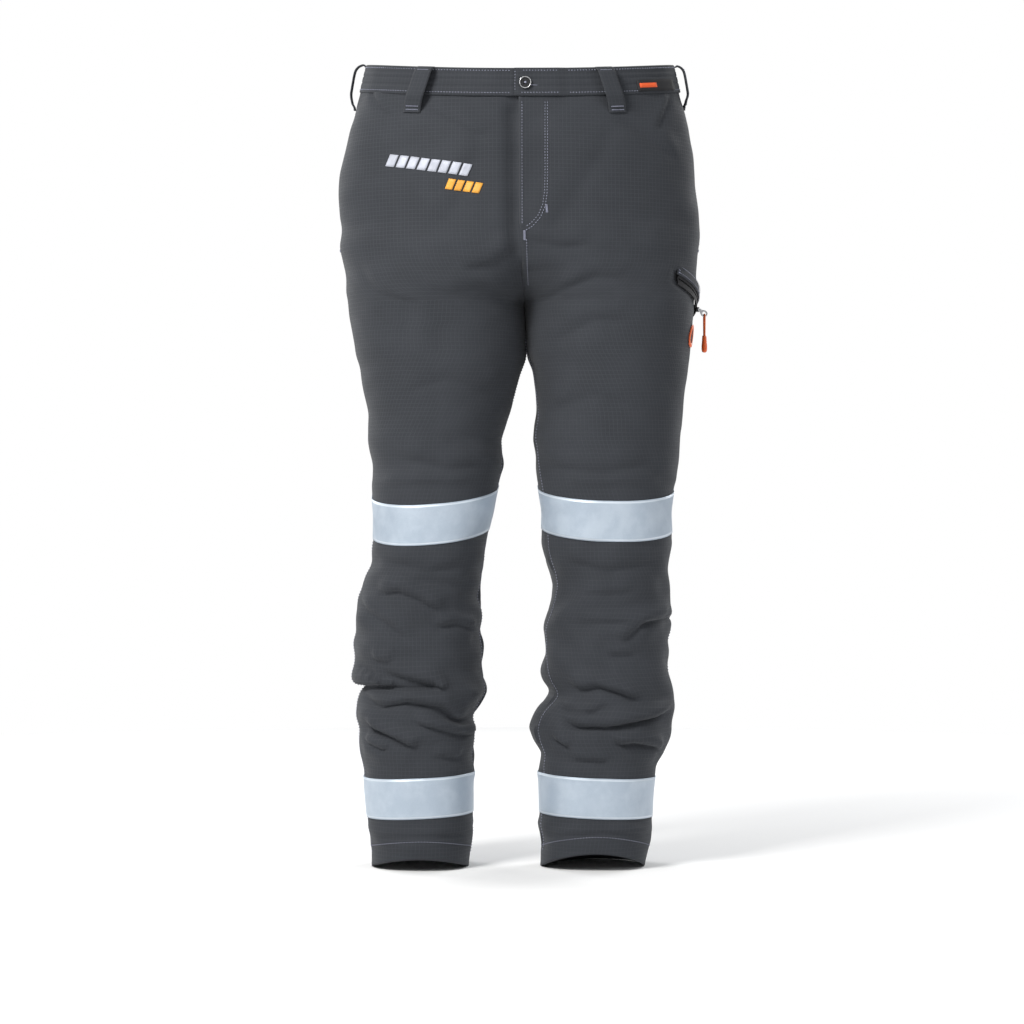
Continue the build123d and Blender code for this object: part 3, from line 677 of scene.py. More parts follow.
# ---------------------------------------------------------------- placing things on the cloth

OUT = {}  # a tree of each side's outer surface


def join_sides(legs):
    """Brings the sides together along the middle of the seat, and laps the left front over the right."""
    right, left = legs["right"], legs["left"]
    for i in range(N_ROWS + 1):
        if right.closed[i] or left.closed[i]:
            continue
        for k in (0, -1):
            middle = (right.grid[i, k] + left.grid[i, k]) / 2
            right.grid[i, k] = middle
            left.grid[i, k] = middle
    z = left.rest[:, 0, 2]
    lap = np.clip((z + FLY_END) / 14, 0, 1)
    left.grid[:, 0, 0] -= 3.0 * lap
    left.grid[:, 0, 1] -= 1.3 * lap
    right.grid[:, 0, 0] += 5.0 * lap
    right.grid[:, 0, 1] += 1.4 * lap
    span = np.clip((z + 300) / 60, 0, 1)[:, None] * np.clip((-z - 52) / 26, 0, 1)[:, None]
    away = np.abs(right.rest[:, 1:N_FRONT, 0] - right.rest[:, :1, 0])
    right.grid[:, 1:N_FRONT, 1] += 8.4 * np.exp(-(((away - 10) / 8.5) ** 2)) * span
    away = np.abs(left.rest[:, 0:N_FRONT, 0] - left.rest[:, :1, 0])
    left.grid[:, 0:N_FRONT, 1] -= 2.2 * np.exp(-((away / 9.0) ** 2)) * span


def trace_cloth():
    """Makes a tree of each side, to find the cloth's outer surface with a ray."""
    for side, leg in legs.items():
        verts = [Vector(p) for p in leg.grid.reshape(-1, 3)]
        faces = grid_faces(leg.grid.shape[0], leg.grid.shape[1])
        OUT[side] = BVHTree.FromPolygons(verts, faces)


def cast(side, start, way):
    hit = OUT[side].ray_cast(Vector(start), Vector(way).normalized())
    if hit[0] is None:
        hit = OUT[side].find_nearest(Vector(start))
    point, normal = hit[0], hit[1]
    if normal.dot(Vector(way)) > 0:
        normal = -normal
    return np.array(point), np.array(normal)


def from_front(side, x, z):
    return cast(side, (x, -300, z), (0, 1, 0))


def from_back(side, x, z):
    return cast(side, (x, 300, z), (0, -1, 0))


def from_side(side, y, z):
    s = SIDES[side]
    return cast(side, (s * 400, y, z), (-s, 0, 0))


def patch(name, rows, material, lift, thick, replaced=(), uv=None):
    """A closed piece on the cloth from rows of (point, normal), from lift to lift + thick above it."""
    points = np.array([[p + n * (lift + thick) for p, n in row] for row in rows])
    if uv is None:
        uv = surface_uv(points)
    normals = np.array([[n for _, n in row] for row in rows])
    obj = new_object(name, points.reshape(-1, 3), outward(points, normals), material, uv)
    thicken(obj, thick)
    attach(obj, "trousers")
    if replaced:
        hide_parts(*replaced)
    return obj


def surface_uv(points):
    """Distances along and across a grid of points, in millimetres."""
    across, along = np.zeros(points.shape[:2]), np.zeros(points.shape[:2])
    across[:, 1:] = np.cumsum(np.linalg.norm(np.diff(points, axis=1), axis=-1), axis=1)
    along[1:] = np.cumsum(np.linalg.norm(np.diff(points, axis=0), axis=-1), axis=0)
    return np.stack([across, along], -1).reshape(-1, 2)


def outward(points, normals):
    """Faces of a grid, wound so that they look along the given normals."""
    rows, cols = points.shape[:2]
    i, j = rows // 2, cols // 2
    face = np.cross(points[i, j] - points[i - 1, j], points[i, j] - points[i, j - 1])
    return grid_faces(rows, cols, flip=float(np.dot(face, normals[i, j])) < 0)


def stitches(name, runs, pitch=3.6, length=2.2, radius=0.46, body="trousers"):
    """Thread lying on the cloth in even stitches along each run of (point, normal)."""
    verts, faces = [], []
    for run in runs:
        points = np.array([p for p, _ in run])
        normals = np.array([n for _, n in run])
        gaps = np.linalg.norm(np.diff(points, axis=0), axis=1)
        at = np.concatenate([[0.0], np.cumsum(gaps)])
        if at[-1] < pitch:
            continue
        for start in np.arange(pitch * 0.2, at[-1] - length, pitch):
            a, b, n = (
                np.array([np.interp(t, at, along[:, k]) for k in range(3)])
                for t, along in ((start, points), (start + length, points), (start, normals))
            )
            n /= np.linalg.norm(n) + 1e-9
            way = (b - a) / (np.linalg.norm(b - a) + 1e-9)
            side = np.cross(n, way)
            base = len(verts)
            verts.append(a + n * 0.05)
            for share in (0.25, 0.75):
                c = a + (b - a) * share + n * radius * 0.8
                for w, h in ((1, 0), (0, 1), (-1, 0), (0, -1)):
                    verts.append(c + side * radius * w + n * radius * h)
            verts.append(b + n * 0.05)
            for k in range(4):
                k1 = (k + 1) % 4
                faces.append((base, base + 1 + k1, base + 1 + k))
                faces.append((base + 1 + k, base + 1 + k1, base + 5 + k1, base + 5 + k))
                faces.append((base + 9, base + 5 + k, base + 5 + k1))
    obj = new_object(name, verts, faces, THREAD)
    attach(obj, body)
    return obj


def run_of(place, points, step=3.0):
    """A dense run of (point, normal) on the cloth, found with one of the ray calls."""
    run = []
    for a, b in zip(points, points[1:]):
        count = max(2, int(math.dist(a, b) / step))
        for k in range(count + 1):
            t = k / count
            run.append(place(a[0] + (b[0] - a[0]) * t, a[1] + (b[1] - a[1]) * t))
    return run


# ---------------------------------------------------------------- panels, tapes and inner layers


def make_panels():
    for side, leg in legs.items():
        across, height = leg.flat_rest
        for place, cols in (("front", slice(0, N_FRONT + 1)), ("back", slice(N_FRONT, None))):
            part = leg.grid[:, cols]
            uv = np.stack([across[:, cols], height[:, cols]], -1).reshape(-1, 2)
            faces = grid_faces(*part.shape[:2], flip=leg.flip)
            obj = new_object(f"{side}_{place}_cloth", part.reshape(-1, 3), faces, CLOTH, uv)
            thicken(obj, CLOTH_T)
            belong(obj, f"{side}_{place}_panel")


def inner_layer(name, leg, rows, cols, depth, thick, material, node, keep=None):
    """A sheet inside the cloth: the smooth shape set in by depth, over ranges of rows and columns."""
    g = leg.rest[rows, cols] - leg.rest_normals[rows, cols] * depth
    across, height = leg.flat_rest
    uv = np.stack([across[rows, cols], height[rows, cols]], -1).reshape(-1, 2)
    faces = grid_faces(*g.shape[:2], flip=leg.flip)
    if keep is not None:
        use = keep(leg.rest[rows, cols].reshape(-1, 3))
        faces = [f for f in faces if all(use[v] for v in f)]
        used = sorted({v for f in faces for v in f})
        index = {v: i for i, v in enumerate(used)}
        faces = [tuple(index[v] for v in f) for f in faces]
        points, uv = g.reshape(-1, 3)[used], uv[used]
    else:
        points = g.reshape(-1, 3)
    obj = new_object(name, points, faces, material, uv)
    thicken(obj, thick)
    belong(obj, node)
    return obj


def row_at(z):
    """The grid row that lies at this height below the seat."""
    return int(round(N_TOP + (z - TOP_Z) / (HEM_Z - TOP_Z) * (N_ROWS - N_TOP)))


def make_inner_layers():
    every = slice(None)
    front = slice(2, N_FRONT - 2)
    for side, leg in legs.items():
        s = leg.s
        inner_layer(
            f"{side}_lining_cloth", leg, slice(0, row_at(-972)), every, 11.0, 0.8, DARK,
            f"{side}_lining",
        )
        pad = inner_layer(
            f"{side}_saw_pad_sheets", leg, slice(4, row_at(-960)), front, 7.0, 3.0, FIBRE,
            f"{side}_saw_pad",
            keep=lambda p: (p[:, 2] < -284) | (s * p[:, 0] > 46),
        )
        inner_layer(
            f"{side}_hem_turnup", leg, slice(row_at(-979), None), every, 2.2, 1.0, CLOTH,
            f"{side}_hem_facing",
        )
        inner_layer(
            f"{side}_hip_pocketing", leg, slice(2, row_at(-250)), front, 4.6, 1.0, DARK,
            f"{side}_hip_pocket_bag", keep=lambda p: s * p[:, 0] > 85,
        )
        inner_layer(
            f"{side}_back_pocketing", leg, slice(14, row_at(-260)), slice(N_FRONT + 2, -2), 4.6, 1.0, DARK,
            f"{side}_back_pocket_bag",
            keep=lambda p: (s * p[:, 0] > 40) & (s * p[:, 0] < 156) & (p[:, 2] < -110),
        )
    around = slice(0, N_FRONT + 14)
    inner_layer(
        "thigh_pocketing", legs["left"], slice(row_at(-266), row_at(-452)), around, 4.6, 1.0, DARK,
        "thigh_pocket_bag", keep=lambda p: p[:, 0] > 152,
    )


# Tapes: lower edge's z at the leg's middle, pitch and roll in degrees.
BANDS = {
    ("right", "knee"): (-584.0, 11.5, -4.5),
    ("left", "knee"): (-580.0, 11.5, 1.5),
    ("right", "ankle"): (-938.0, 0.5, -2.6),
    ("left", "ankle"): (-938.0, 0.5, 2.2),
}


def make_tapes():
    for (side, joint), (z0, pitch, roll) in BANDS.items():
        leg = legs[side]
        middle = leg.rest[row_at(z0)][:, 0].mean()
        normals = leg.normals()
        slope, lean = math.tan(math.radians(pitch)), math.tan(math.radians(roll))
        index = np.arange(N_ROWS + 1)
        steps = 12
        for place, first, last in (("front", 0, N_FRONT), ("back", N_FRONT, N_FRONT + N_BACK)):
            rows = []
            for k in range(steps + 1):
                line = []
                for j in range(first, last + 1):
                    x, y = leg.rest[row_at(z0), j, :2]
                    z = z0 + slope * y - lean * (x - middle) + TAPE_H * k / steps
                    i = float(np.interp(-z, -leg.grid[60:, j, 2], index[60:]))
                    i0, f = int(i), i - int(i)
                    i1 = min(i0 + 1, N_ROWS)
                    p = leg.grid[i0, j] * (1 - f) + leg.grid[i1, j] * f
                    n = normals[i0, j] * (1 - f) + normals[i1, j] * f
                    line.append((p, n / np.linalg.norm(n)))
                rows.append(line)
            base = np.array([[p for p, _ in r] for r in rows])
            across = surface_uv(base).reshape(steps + 1, -1, 2)[..., 0]
            up = np.repeat(np.linspace(0, TAPE_H, steps + 1)[:, None], base.shape[1], 1)
            uv = np.stack([across, up], -1).reshape(-1, 2)
            node = f"{side}_{joint}_band_{place}"
            patch(f"{side}_{joint}_tape_{place}", rows, TAPE, 0.35, 0.7, (node,), uv)


# ---------------------------------------------------------------- waistband and belt loops


def waist(side, phi, drop, lift):
    """A point on the waistband: phi degrees from the outer side to the back, drop below its top edge."""
    leg = legs[side]
    a = math.radians(phi)
    y = leg.point(-20.0, np.array(a))[1]
    z = float(rim_z(y)) - drop
    p = leg.point(z, np.array(a))
    q = leg.point(z, np.array(a + 0.01))
    tangent = q - p
    n = np.array([tangent[1], -tangent[0], 0.0])
    n /= np.linalg.norm(n)
    if n[0] * p[0] + n[1] * p[1] < 0:
        n = -n
    return p + n * lift, n


# The waistband's section: drop below its top edge and height above the smooth shape.
BAND_PROFILE = [
    (34.6, 0.2), (34.2, 1.5), (32.5, 2.0), (30.4, 1.45), (27, 1.95), (23.2, 1.9), (22.2, 1.2), (21, 1.9),
    (15.4, 2.0), (14.3, 1.15), (13, 1.9), (8.4, 1.9), (7.4, 1.3), (6.4, 1.9), (3.6, 1.4), (2.0, 1.8),
    (0.6, 1.3), (0.0, 0.2), (0.0, -1.6), (0.8, -2.8), (4, -3.1), (17, -3.1), (33, -3.1), (34.4, -2.4),
    (34.6, -1.0),
]
THREAD_LIFT = 1.62  # where thread lies on the waistband
WAIST_A, WAIST_B = 197.0, 108.0  # half the waist's width and depth


def band_piece(name, spans, node):
    """Part of the waistband swept along its bearings. spans: (side, phi, extra lift) in order."""
    rows, uv, ids = [], [], len(BAND_PROFILE)
    length, last = 0.0, None
    for side, phi, extra in spans:
        ring = [waist(side, phi, drop, lift + extra)[0] for drop, lift in BAND_PROFILE]
        if last is not None:
            length += float(np.linalg.norm(ring[4] - last))
        last = ring[4]
        ripple = 0.35 * math.sin(length / 5.3) + 0.3 * math.sin(length / 8.9 + 1.0)
        for k, (drop, lift) in enumerate(BAND_PROFILE):
            if lift > 1.0:
                share = 0.5 if 6 < drop < 28 else 0.2
                ring[k] = waist(side, phi, drop, lift + extra + ripple * share)[0]
            uv.append((length, drop))
        rows.append(ring)
    points = np.array(rows)
    faces = []
    for i in range(len(rows) - 1):
        for k in range(ids):
            k1 = (k + 1) % ids
            faces.append((i * ids + k, i * ids + k1, (i + 1) * ids + k1, (i + 1) * ids + k))
    faces.append(tuple(range(ids)))
    faces.append(tuple((len(rows) - 1) * ids + k for k in range(ids))[::-1])
    obj = new_object(name, points.reshape(-1, 3), faces, CLOTH, uv)
    fix_normals(obj)
    belong(obj, node)
    return obj


def fix_normals(obj):
    bm = bmesh.new()
    bm.from_mesh(obj.data)
    bmesh.ops.recalc_face_normals(bm, faces=bm.faces)
    bm.to_mesh(obj.data)
    bm.free()


def phi_at(side, x):
    """Bearing on the front of the waistband where it has this x."""
    lo, hi = -120.0, 0.0
    s = SIDES[side]
    for _ in range(40):
        mid = (lo + hi) / 2
        if s * waist(side, mid, 17, 0)[0][0] < s * x:
            lo = mid
        else:
            hi = mid
    return (lo + hi) / 2


TAB_LIFT = 1.75  # how far the buttoned end stands above the waistband under it


def make_waistband():
    right = [("right", p, 0.0) for p in np.arange(90.0, -88.0, -1.0)]
    front = phi_at("right", 2.0)
    right = [r for r in right if r[1] > front] + [("right", front, 0.0)]
    under = [("left", p, -0.4) for p in np.arange(-89.0, phi_at("left", 36.0), 1.0)]
    band_piece("waistband_right_cloth", right + under, "waistband_right")
    left = [("left", float(p), 0.0) for p in np.arange(90.0, phi_at("left", 60.0), -1.0)]
    start = phi_at("left", 60.0)
    for p in np.arange(start, -89.5, -0.8):
        x = waist("left", p, 17, 0)[0][0]
        share = min(max((58 - x) / 14, 0), 1)
        left.append(("left", float(p), TAB_LIFT * share * share * (3 - 2 * share)))
    for p in np.arange(-89.5, phi_at("right", -9.0) + 0.01, 0.8):
        left.append(("right", float(p), TAB_LIFT))
    band_piece("waistband_left_cloth", left, "waistband_left")
    runs = []
    for drop in (3.4, 30.6):
        for side, stop in (("right", phi_at("right", -12.0)), ("left", phi_at("left", 58.0))):
            runs.append([waist(side, p, drop, THREAD_LIFT) for p in np.arange(stop, 90.0, 1.0)])
        tab = np.arange(phi_at("left", 46.0), -90.0, -1.0)
        runs.append([waist("left", p, drop, THREAD_LIFT + TAB_LIFT) for p in tab])
    tab_end = phi_at("right", -6.5)
    runs.append([waist("right", tab_end, d, THREAD_LIFT + TAB_LIFT) for d in np.arange(3.4, 31, 2.0)])
    stitches("waistband_stitching", runs)
    behind = [("right" if b > 0 else "left", 90 - abs(b)) for b in np.arange(-72.0, 72.5, 2.0)]
    rows = [[waist(side, phi, d, -4.6) for side, phi in behind] for d in np.arange(5.0, 31.0, 4.0)]
    patch("waistband_elastic_web", rows, DARK, 0.0, 1.0, ("waistband_elastic",))


# Belt loops: side, place, and where the top and bottom of the loop lie across it.
LOOPS = {
    "front_right": ("right", "front", -110.5, -120.5),
    "front_left": ("left", "front", 98.0, 109.0),
    "side_right": ("right", "side", 0.0, 0.0),
    "side_left": ("left", "side", -6.0, -6.0),
    "back_right": ("right", "back", -118.0, -120.0),
    "back_centre": ("right", "back", 0.0, 0.0),
    "back_left": ("left", "back", 118.0, 120.0),
}
# A loop's line: drop below the waistband's top edge and height above the smooth shape.
LOOP_PATH = [
    (2.2, 1.2), (0.4, 3.0), (0.9, 6.0), (3.5, 9.6), (9.0, 11.6), (22.0, 11.2), (38.0, 9.8), (47.0, 6.6),
    (52.5, 2.6), (56.5, 1.4),
]
LOOP_W, LOOP_L = 19.0, 56.5


def smooth_path(points, per=5):
    """Catmull-Rom points through a short list."""
    p = [np.array(points[0], float)] + [np.array(q, float) for q in points] + [np.array(points[-1], float)]
    out = []
    for i in range(1, len(p) - 2):
        for k in range(per):
            t = k / per
            square = (2 * p[i - 1] - 5 * p[i] + 4 * p[i + 1] - p[i + 2]) * t * t
            cube = (3 * p[i] - p[i - 1] - 3 * p[i + 1] + p[i + 2]) * t ** 3
            out.append(0.5 * ((2 * p[i]) + (p[i + 1] - p[i - 1]) * t + square + cube))
    out.append(p[-2])
    return out


def loop_point(side, place, across, drop):
    """A point of the waistband under a belt loop, brought onto the cloth below the waistband."""
    if place == "side":
        phi = math.degrees(math.asin(max(-1, min(1, across / WAIST_B))))
    else:
        phi = math.degrees(math.acos(max(-1, min(1, SIDES[side] * across / WAIST_A))))
        phi = -phi if place == "front" else phi
    p, n = waist(side, phi, drop, 1.6)
    if drop > 36:
        if place == "side":
            q = from_side(side, p[1], p[2])[0]
        else:
            q = (front_any if place == "front" else back_any)(p[0], p[2])[0]
        blend = min((drop - 36) / 8, 1)
        p = p * (1 - blend) + q * blend
    return p, n


def make_loops():
    path = smooth_path(LOOP_PATH)
    tacks = []
    for name, (side, place, top, bottom) in LOOPS.items():
        rows = []
        for drop, stand in path:
            at = top + (bottom - top) * (drop / LOOP_L)
            row = []
            for w in np.linspace(-1, 1, 9):
                p, n = loop_point(side, place, at + w * LOOP_W / 2, drop)
                edge = abs(w) ** 4 * 0.5
                row.append((p + n * (stand - 1.0 - edge), n))
            rows.append(row)
        patch(f"belt_loop_{name}_cloth", rows, CLOTH, 0.0, 1.5, (f"belt_loop_{name}",))
        tacks.append([(p + n * 1.55, n) for p, n in rows[4][1:-1]])
        for want in (49.5, 53.0):
            i = min(range(len(path)), key=lambda q: abs(path[q][0] - want))
            for shift in (0.0, 0.5):
                tacks.append([(p + n * 1.55 + np.array([0, 0, shift]), n) for p, n in rows[i][1:-1]])
        i = min(range(len(path)), key=lambda q: abs(path[q][0] - 5.0) + (100 if path[q][1] < 5 else 0))
        tacks.append([(p + n * 1.55, n) for p, n in rows[i][1:-1]])
    stitches("belt_loop_stitching", tacks, pitch=1.5, length=1.35, radius=0.42)


# ---------------------------------------------------------------- fly, pockets and trims

FLY_END = 226.0  # how far down the fly opens
AMBER = solid("amber_embroidery", (0.78, 0.36, 0.045), rough=0.55, scale=1500.0, depth=0.0002)
SILVER = solid("grey_embroidery", (0.47, 0.49, 0.56), rough=0.5, scale=1500.0, depth=0.0002)
ORANGE = solid("orange_rubber", (0.80, 0.125, 0.018), rough=0.45, scale=700.0, vary=0.06, coat=0.2)
CORD = solid("orange_cord", (0.76, 0.13, 0.02), rough=0.7, scale=2500.0, depth=0.0003)
STEEL = solid("nickel", (0.55, 0.55, 0.56), rough=0.3, metal=1.0, scale=900.0, vary=0.06)
BLACK = solid("black_plastic", (0.014, 0.014, 0.016), rough=0.38, scale=900.0)
GUNMETAL = solid("black_metal", (0.03, 0.03, 0.033), rough=0.35, metal=0.8, scale=900.0)
LABEL = solid("label_weave", (0.012, 0.012, 0.014), rough=0.8, scale=2500.0, depth=0.0003)
LABEL_ORANGE = solid("label_orange", (0.75, 0.10, 0.02), rough=0.7, scale=2500.0, depth=0.0003)


def side_for(x):
    return "right" if x < 2 else "left"


def front_any(x, z):
    return from_front(side_for(x), x, z)


def front_left(x, z):
    return from_front("left", x, z)


def back_any(x, z):
    return from_back("right" if x < 0 else "left", x, z)


def slanted(place, x, z, length, height, tilt, rows=4, cols=12, slope=0.0):
    """Rows of (point, normal) for a slanted bar on the cloth, whose ends lean by slope."""
    c, s = math.cos(math.radians(tilt)), math.sin(math.radians(tilt))
    out = []
    for j in range(rows + 1):
        v = (j / rows - 0.5) * height
        line = []
        for i in range(cols + 1):
            u = (i / cols - 0.5) * length + v * slope
            line.append(place(x + u * c + v * s, z - u * s + v * c))
        out.append(line)
    return out


def make_fly():
    line = [(33, -64), (33, -150), (32.5, -176), (30, -193), (24, -207), (15, -217), (5, -223)]
    inner = [(30, -64), (30, -150), (29.5, -174), (27.2, -190), (21.8, -203.5), (13.5, -213), (5, -219)]
    edge = [(2.0, -64), (2.2, -215)]
    runs = [run_of(front_left, points) for points in (line, inner, edge)]
    runs.append(run_of(front_any, [(7.5, -232), (8.5, -262), (10, -285)]))
    stitches("fly_stitching", runs)
    inner_layer(
        "fly_facing_cloth", legs["left"], slice(2, row_at(-210)), slice(0, 12), 2.4, 1.0, CLOTH,
        "fly_facing", keep=lambda p: p[:, 0] < 32,
    )
    inner_layer(
        "fly_shield_cloth", legs["left"], slice(2, row_at(-203)), slice(0, 14), 12.6, 0.9, DARK,
        "fly_shield", keep=lambda p: p[:, 0] < 38,
    )


def make_tacks():
    """Dense bar tacks at the pocket ends and on the fly."""
    runs = []
    for side, s in SIDES.items():
        for shift in (0.0, 0.7, 1.4, 2.1):
            bar = [(-20, -236 - shift), (-9, -236 - shift)]
            runs.append(run_of(partial(from_side, side), bar, 1.0))
        for x in (35, 161):
            for shift in (0.0, 0.7, 1.4):
                runs.append(run_of(back_any, [(s * (x + shift), -104), (s * (x + shift), -119)], 1.0))
    for shift in (0.0, 0.6, 1.2, 1.8):
        runs.append(run_of(front_left, [(30.5 + shift, -190.5), (31.5 + shift, -201.5)], 1.0))
        runs.append(run_of(front_left, [(4.0 + shift, -222), (4.4 + shift, -234)], 1.0))
    obj = stitches("bar_tack_threads", runs, pitch=1.0, length=0.98, radius=0.5)
    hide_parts("bar_tacks")


def make_seam_stitching():
    runs = []
    for side, s in SIDES.items():
        grid, normals = legs[side].grid, legs[side].normals()
        pocket, end = row_at(-232), row_at(-990)
        for k, first, last in (
            (N_FRONT - 3, 4, pocket), (N_FRONT - 4, 4, pocket), (N_FRONT + 3, 4, end), (3, row_at(-320), end),
        ):
            runs.append([(grid[i, k] + normals[i, k] * 0.1, normals[i, k]) for i in range(first, last)])
        hem = row_at(-979)
        runs.append([(p + n * 0.1, n) for p, n in zip(grid[hem], normals[hem])])
        back = [(s * 4, -45), (s * 4, -230)]
        runs.append(run_of(partial(from_back, side), back))
    stitches("seam_stitching", runs)


def make_back_pockets():
    for side, s in SIDES.items():
        rows = slanted(partial(from_back, side), s * 98, -112, 122, 14, -2 * s, rows=5, cols=30)
        node = f"{side}_back_pocket_welt"
        patch(f"{side}_pocket_welt_cloth", rows, CLOTH, 0.2, 1.3, (node,))
    runs = []
    for side, s in SIDES.items():
        for dz in (-8.6, 8.6):
            line = [(s * 38, -112 + dz), (s * 158, -112 + dz)]
            runs.append(run_of(partial(from_back, side), line))
    stitches("welt_stitching", runs)


def make_trims():
    tilt = 9
    for name, x, z, bars, bar, gap, height, material, node in (
        ("grey_stripe", -111, -141, 8, 10.4, 2.6, 15, SILVER, "embroidered_stripe_grey"),
        ("amber_stripe", -68, -168, 4, 8.6, 2.4, 13, AMBER, "embroidered_stripe_amber"),
    ):
        pieces = []
        c, s = math.cos(math.radians(tilt)), math.sin(math.radians(tilt))
        for k in range(bars):
            u = (k - (bars - 1) / 2) * (bar + gap)
            rows = slanted(front_any, x + u * c, z - u * s, bar, height, tilt, 4, 4, slope=0.25)
            pieces.append(patch(f"{name}_{k}", rows, material, 0.1, 0.9))
        with bpy.context.temp_override(active_object=pieces[0], selected_editable_objects=pieces):
            bpy.ops.object.join()
        pieces[0].name = name
        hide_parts(node)

    def band_front(u, v):
        a = -math.degrees(math.acos(max(-1, min(1, u / WAIST_A))))
        return waist("left", a, v, 1.9)

    rows = [[band_front(x, d) for x in np.linspace(136, 184, 14)] for d in np.linspace(31.5, 17.5, 5)]
    patch("woven_label_cloth", rows, LABEL, 0.1, 0.7, ("woven_label",))
    rows = [[band_front(x, d) for x in np.linspace(139, 160, 8)] for d in np.linspace(27.0, 21.5, 3)]
    patch("woven_label_bar", rows, LABEL_ORANGE, 0.9, 0.25, ())

    bearing = math.radians(-17)
    out = np.array([math.cos(bearing), math.sin(bearing), 0])
    across = np.array([-math.sin(bearing), math.cos(bearing), 0])
    base = np.array([108.0, 0.0, -344.0])
    for name, r0, r1, lift, thick, material, nodes in (
        ("badge_disc", 0.0, 13.0, 0.2, 0.7, LABEL, ("thigh_badge",)),
        ("badge_ring", 9.6, 14.0, 0.3, 1.5, ORANGE, ()),
    ):
        rows = []
        for r in np.linspace(r0 + 0.01, r1, 5):
            line = []
            for a in np.linspace(0, 2 * math.pi, 49):
                start = base + out * 300 + across * r * math.cos(a) + np.array([0, 0, r * math.sin(a)])
                line.append(cast("left", start, -out))
            rows.append(line)
        patch(name, rows, material, lift, thick, nodes)


# ---------------------------------------------------------------- thigh pocket's zip and puller

# The thigh zip lies on a circle: its centre, radius, bearing and lean, and its ends in degrees.
ZIP_C = np.array([109.5, -2.0, -293.0])
ZIP_R, ZIP_BEARING, ZIP_LEAN = 111.6, -15.0, 19.0
ZIP_FROM, ZIP_TO = -27.0, 27.0
FLAP_LIFT = 2.35  # where thread lies on the flap


def zip_axes():
    b, lean = math.radians(ZIP_BEARING), math.radians(ZIP_LEAN)
    out = np.array([math.cos(b), math.sin(b), 0])
    back = np.array([-math.sin(b), math.cos(b), 0])
    axis = np.array([0, 0, 1.0]) * math.cos(lean) + back * math.sin(lean)
    return out, axis, np.cross(axis, out)


def zip_point(r, h, turn):
    out, axis, back = zip_axes()
    a = math.radians(turn)
    n = out * math.cos(a) + back * math.sin(a)
    return ZIP_C + n * r + axis * h, n


def seat_zip(leg):
    """Tucks the cloth behind the thigh zip and brings it up under the flap's root."""
    out, axis, back = zip_axes()
    g = leg.grid
    d = g - ZIP_C
    h = d @ axis
    flat = d - h[..., None] * axis
    r = np.linalg.norm(flat, axis=-1)
    turn = np.degrees(np.arctan2(flat @ back, flat @ out))
    near = np.clip((turn - ZIP_FROM + 9) / 7, 0, 1) * np.clip((ZIP_TO + 9 - turn) / 7, 0, 1)
    low = near * np.clip((12 - np.abs(h)) / 5, 0, 1)
    limit = ZIP_R - 2.9
    cut = np.where(r > limit, (limit - r) * low, 0)
    raise_ = near * np.exp(-(((h - 18) / 5) ** 2)) * np.clip(ZIP_R - 0.2 - r, 0, 6)
    unit = flat / (r[..., None] + 1e-9)
    leg.grid = g + unit * (cut + raise_)[..., None]


def make_thigh_pocket():
    rows = []
    for h, lift in ((19.0, -0.4), (18.2, 0.9), (16.5, 1.8), (12.0, 2.2), (7.0, 2.3), (5.0, 2.1), (4.5, 1.4)):
        turns = np.arange(ZIP_FROM - 2, ZIP_TO + 1.01, 1.5)
        rows.append([zip_point(ZIP_R + lift - 1.1, h, t) for t in turns])
    patch("thigh_flap_cloth", rows, CLOTH, 0.0, 1.1, ("thigh_pocket_flap",))
    runs = []
    for h in (7.2, 15.6):
        turns = np.arange(ZIP_FROM - 1.2, ZIP_TO + 0.4, 1.0)
        runs.append([zip_point(ZIP_R + FLAP_LIFT, h, t) for t in turns])
    for t in (ZIP_FROM - 1.0, ZIP_FROM + 0.2, ZIP_TO + 0.2):
        runs.append([zip_point(ZIP_R + FLAP_LIFT, h, t) for h in np.arange(5.4, 17.5, 1.5)])
    stitches("thigh_flap_stitching", runs)


# The tab's eye, the way through it, down along the tab, and where the cord hangs on the eye's rim.
EYE = np.array([231.0, 12.594, -313.15])
THROUGH = np.array([-0.17021, 0.98541, 0.0])
SAG = np.array([0.05083, -0.29397, -0.95447])
EYE_RIM = 3.35
HANG = EYE + SAG * EYE_RIM
# The cord's route from grip to grip: along THROUGH and up from HANG.
CORD_ROUTE = [
    (-2.2, -25.0), (-2.6, -14.0), (-3.0, -3.9), (-3.0, 2.15),
    (3.0, 2.15), (3.0, -3.9), (2.6, -14.0), (2.2, -25.0),
]
GRIP_DROP, GRIP_A, GRIP_B = 24.4, 3.55, 3.0
CORD_LENGTH, CORD_D = 0.058, 0.002


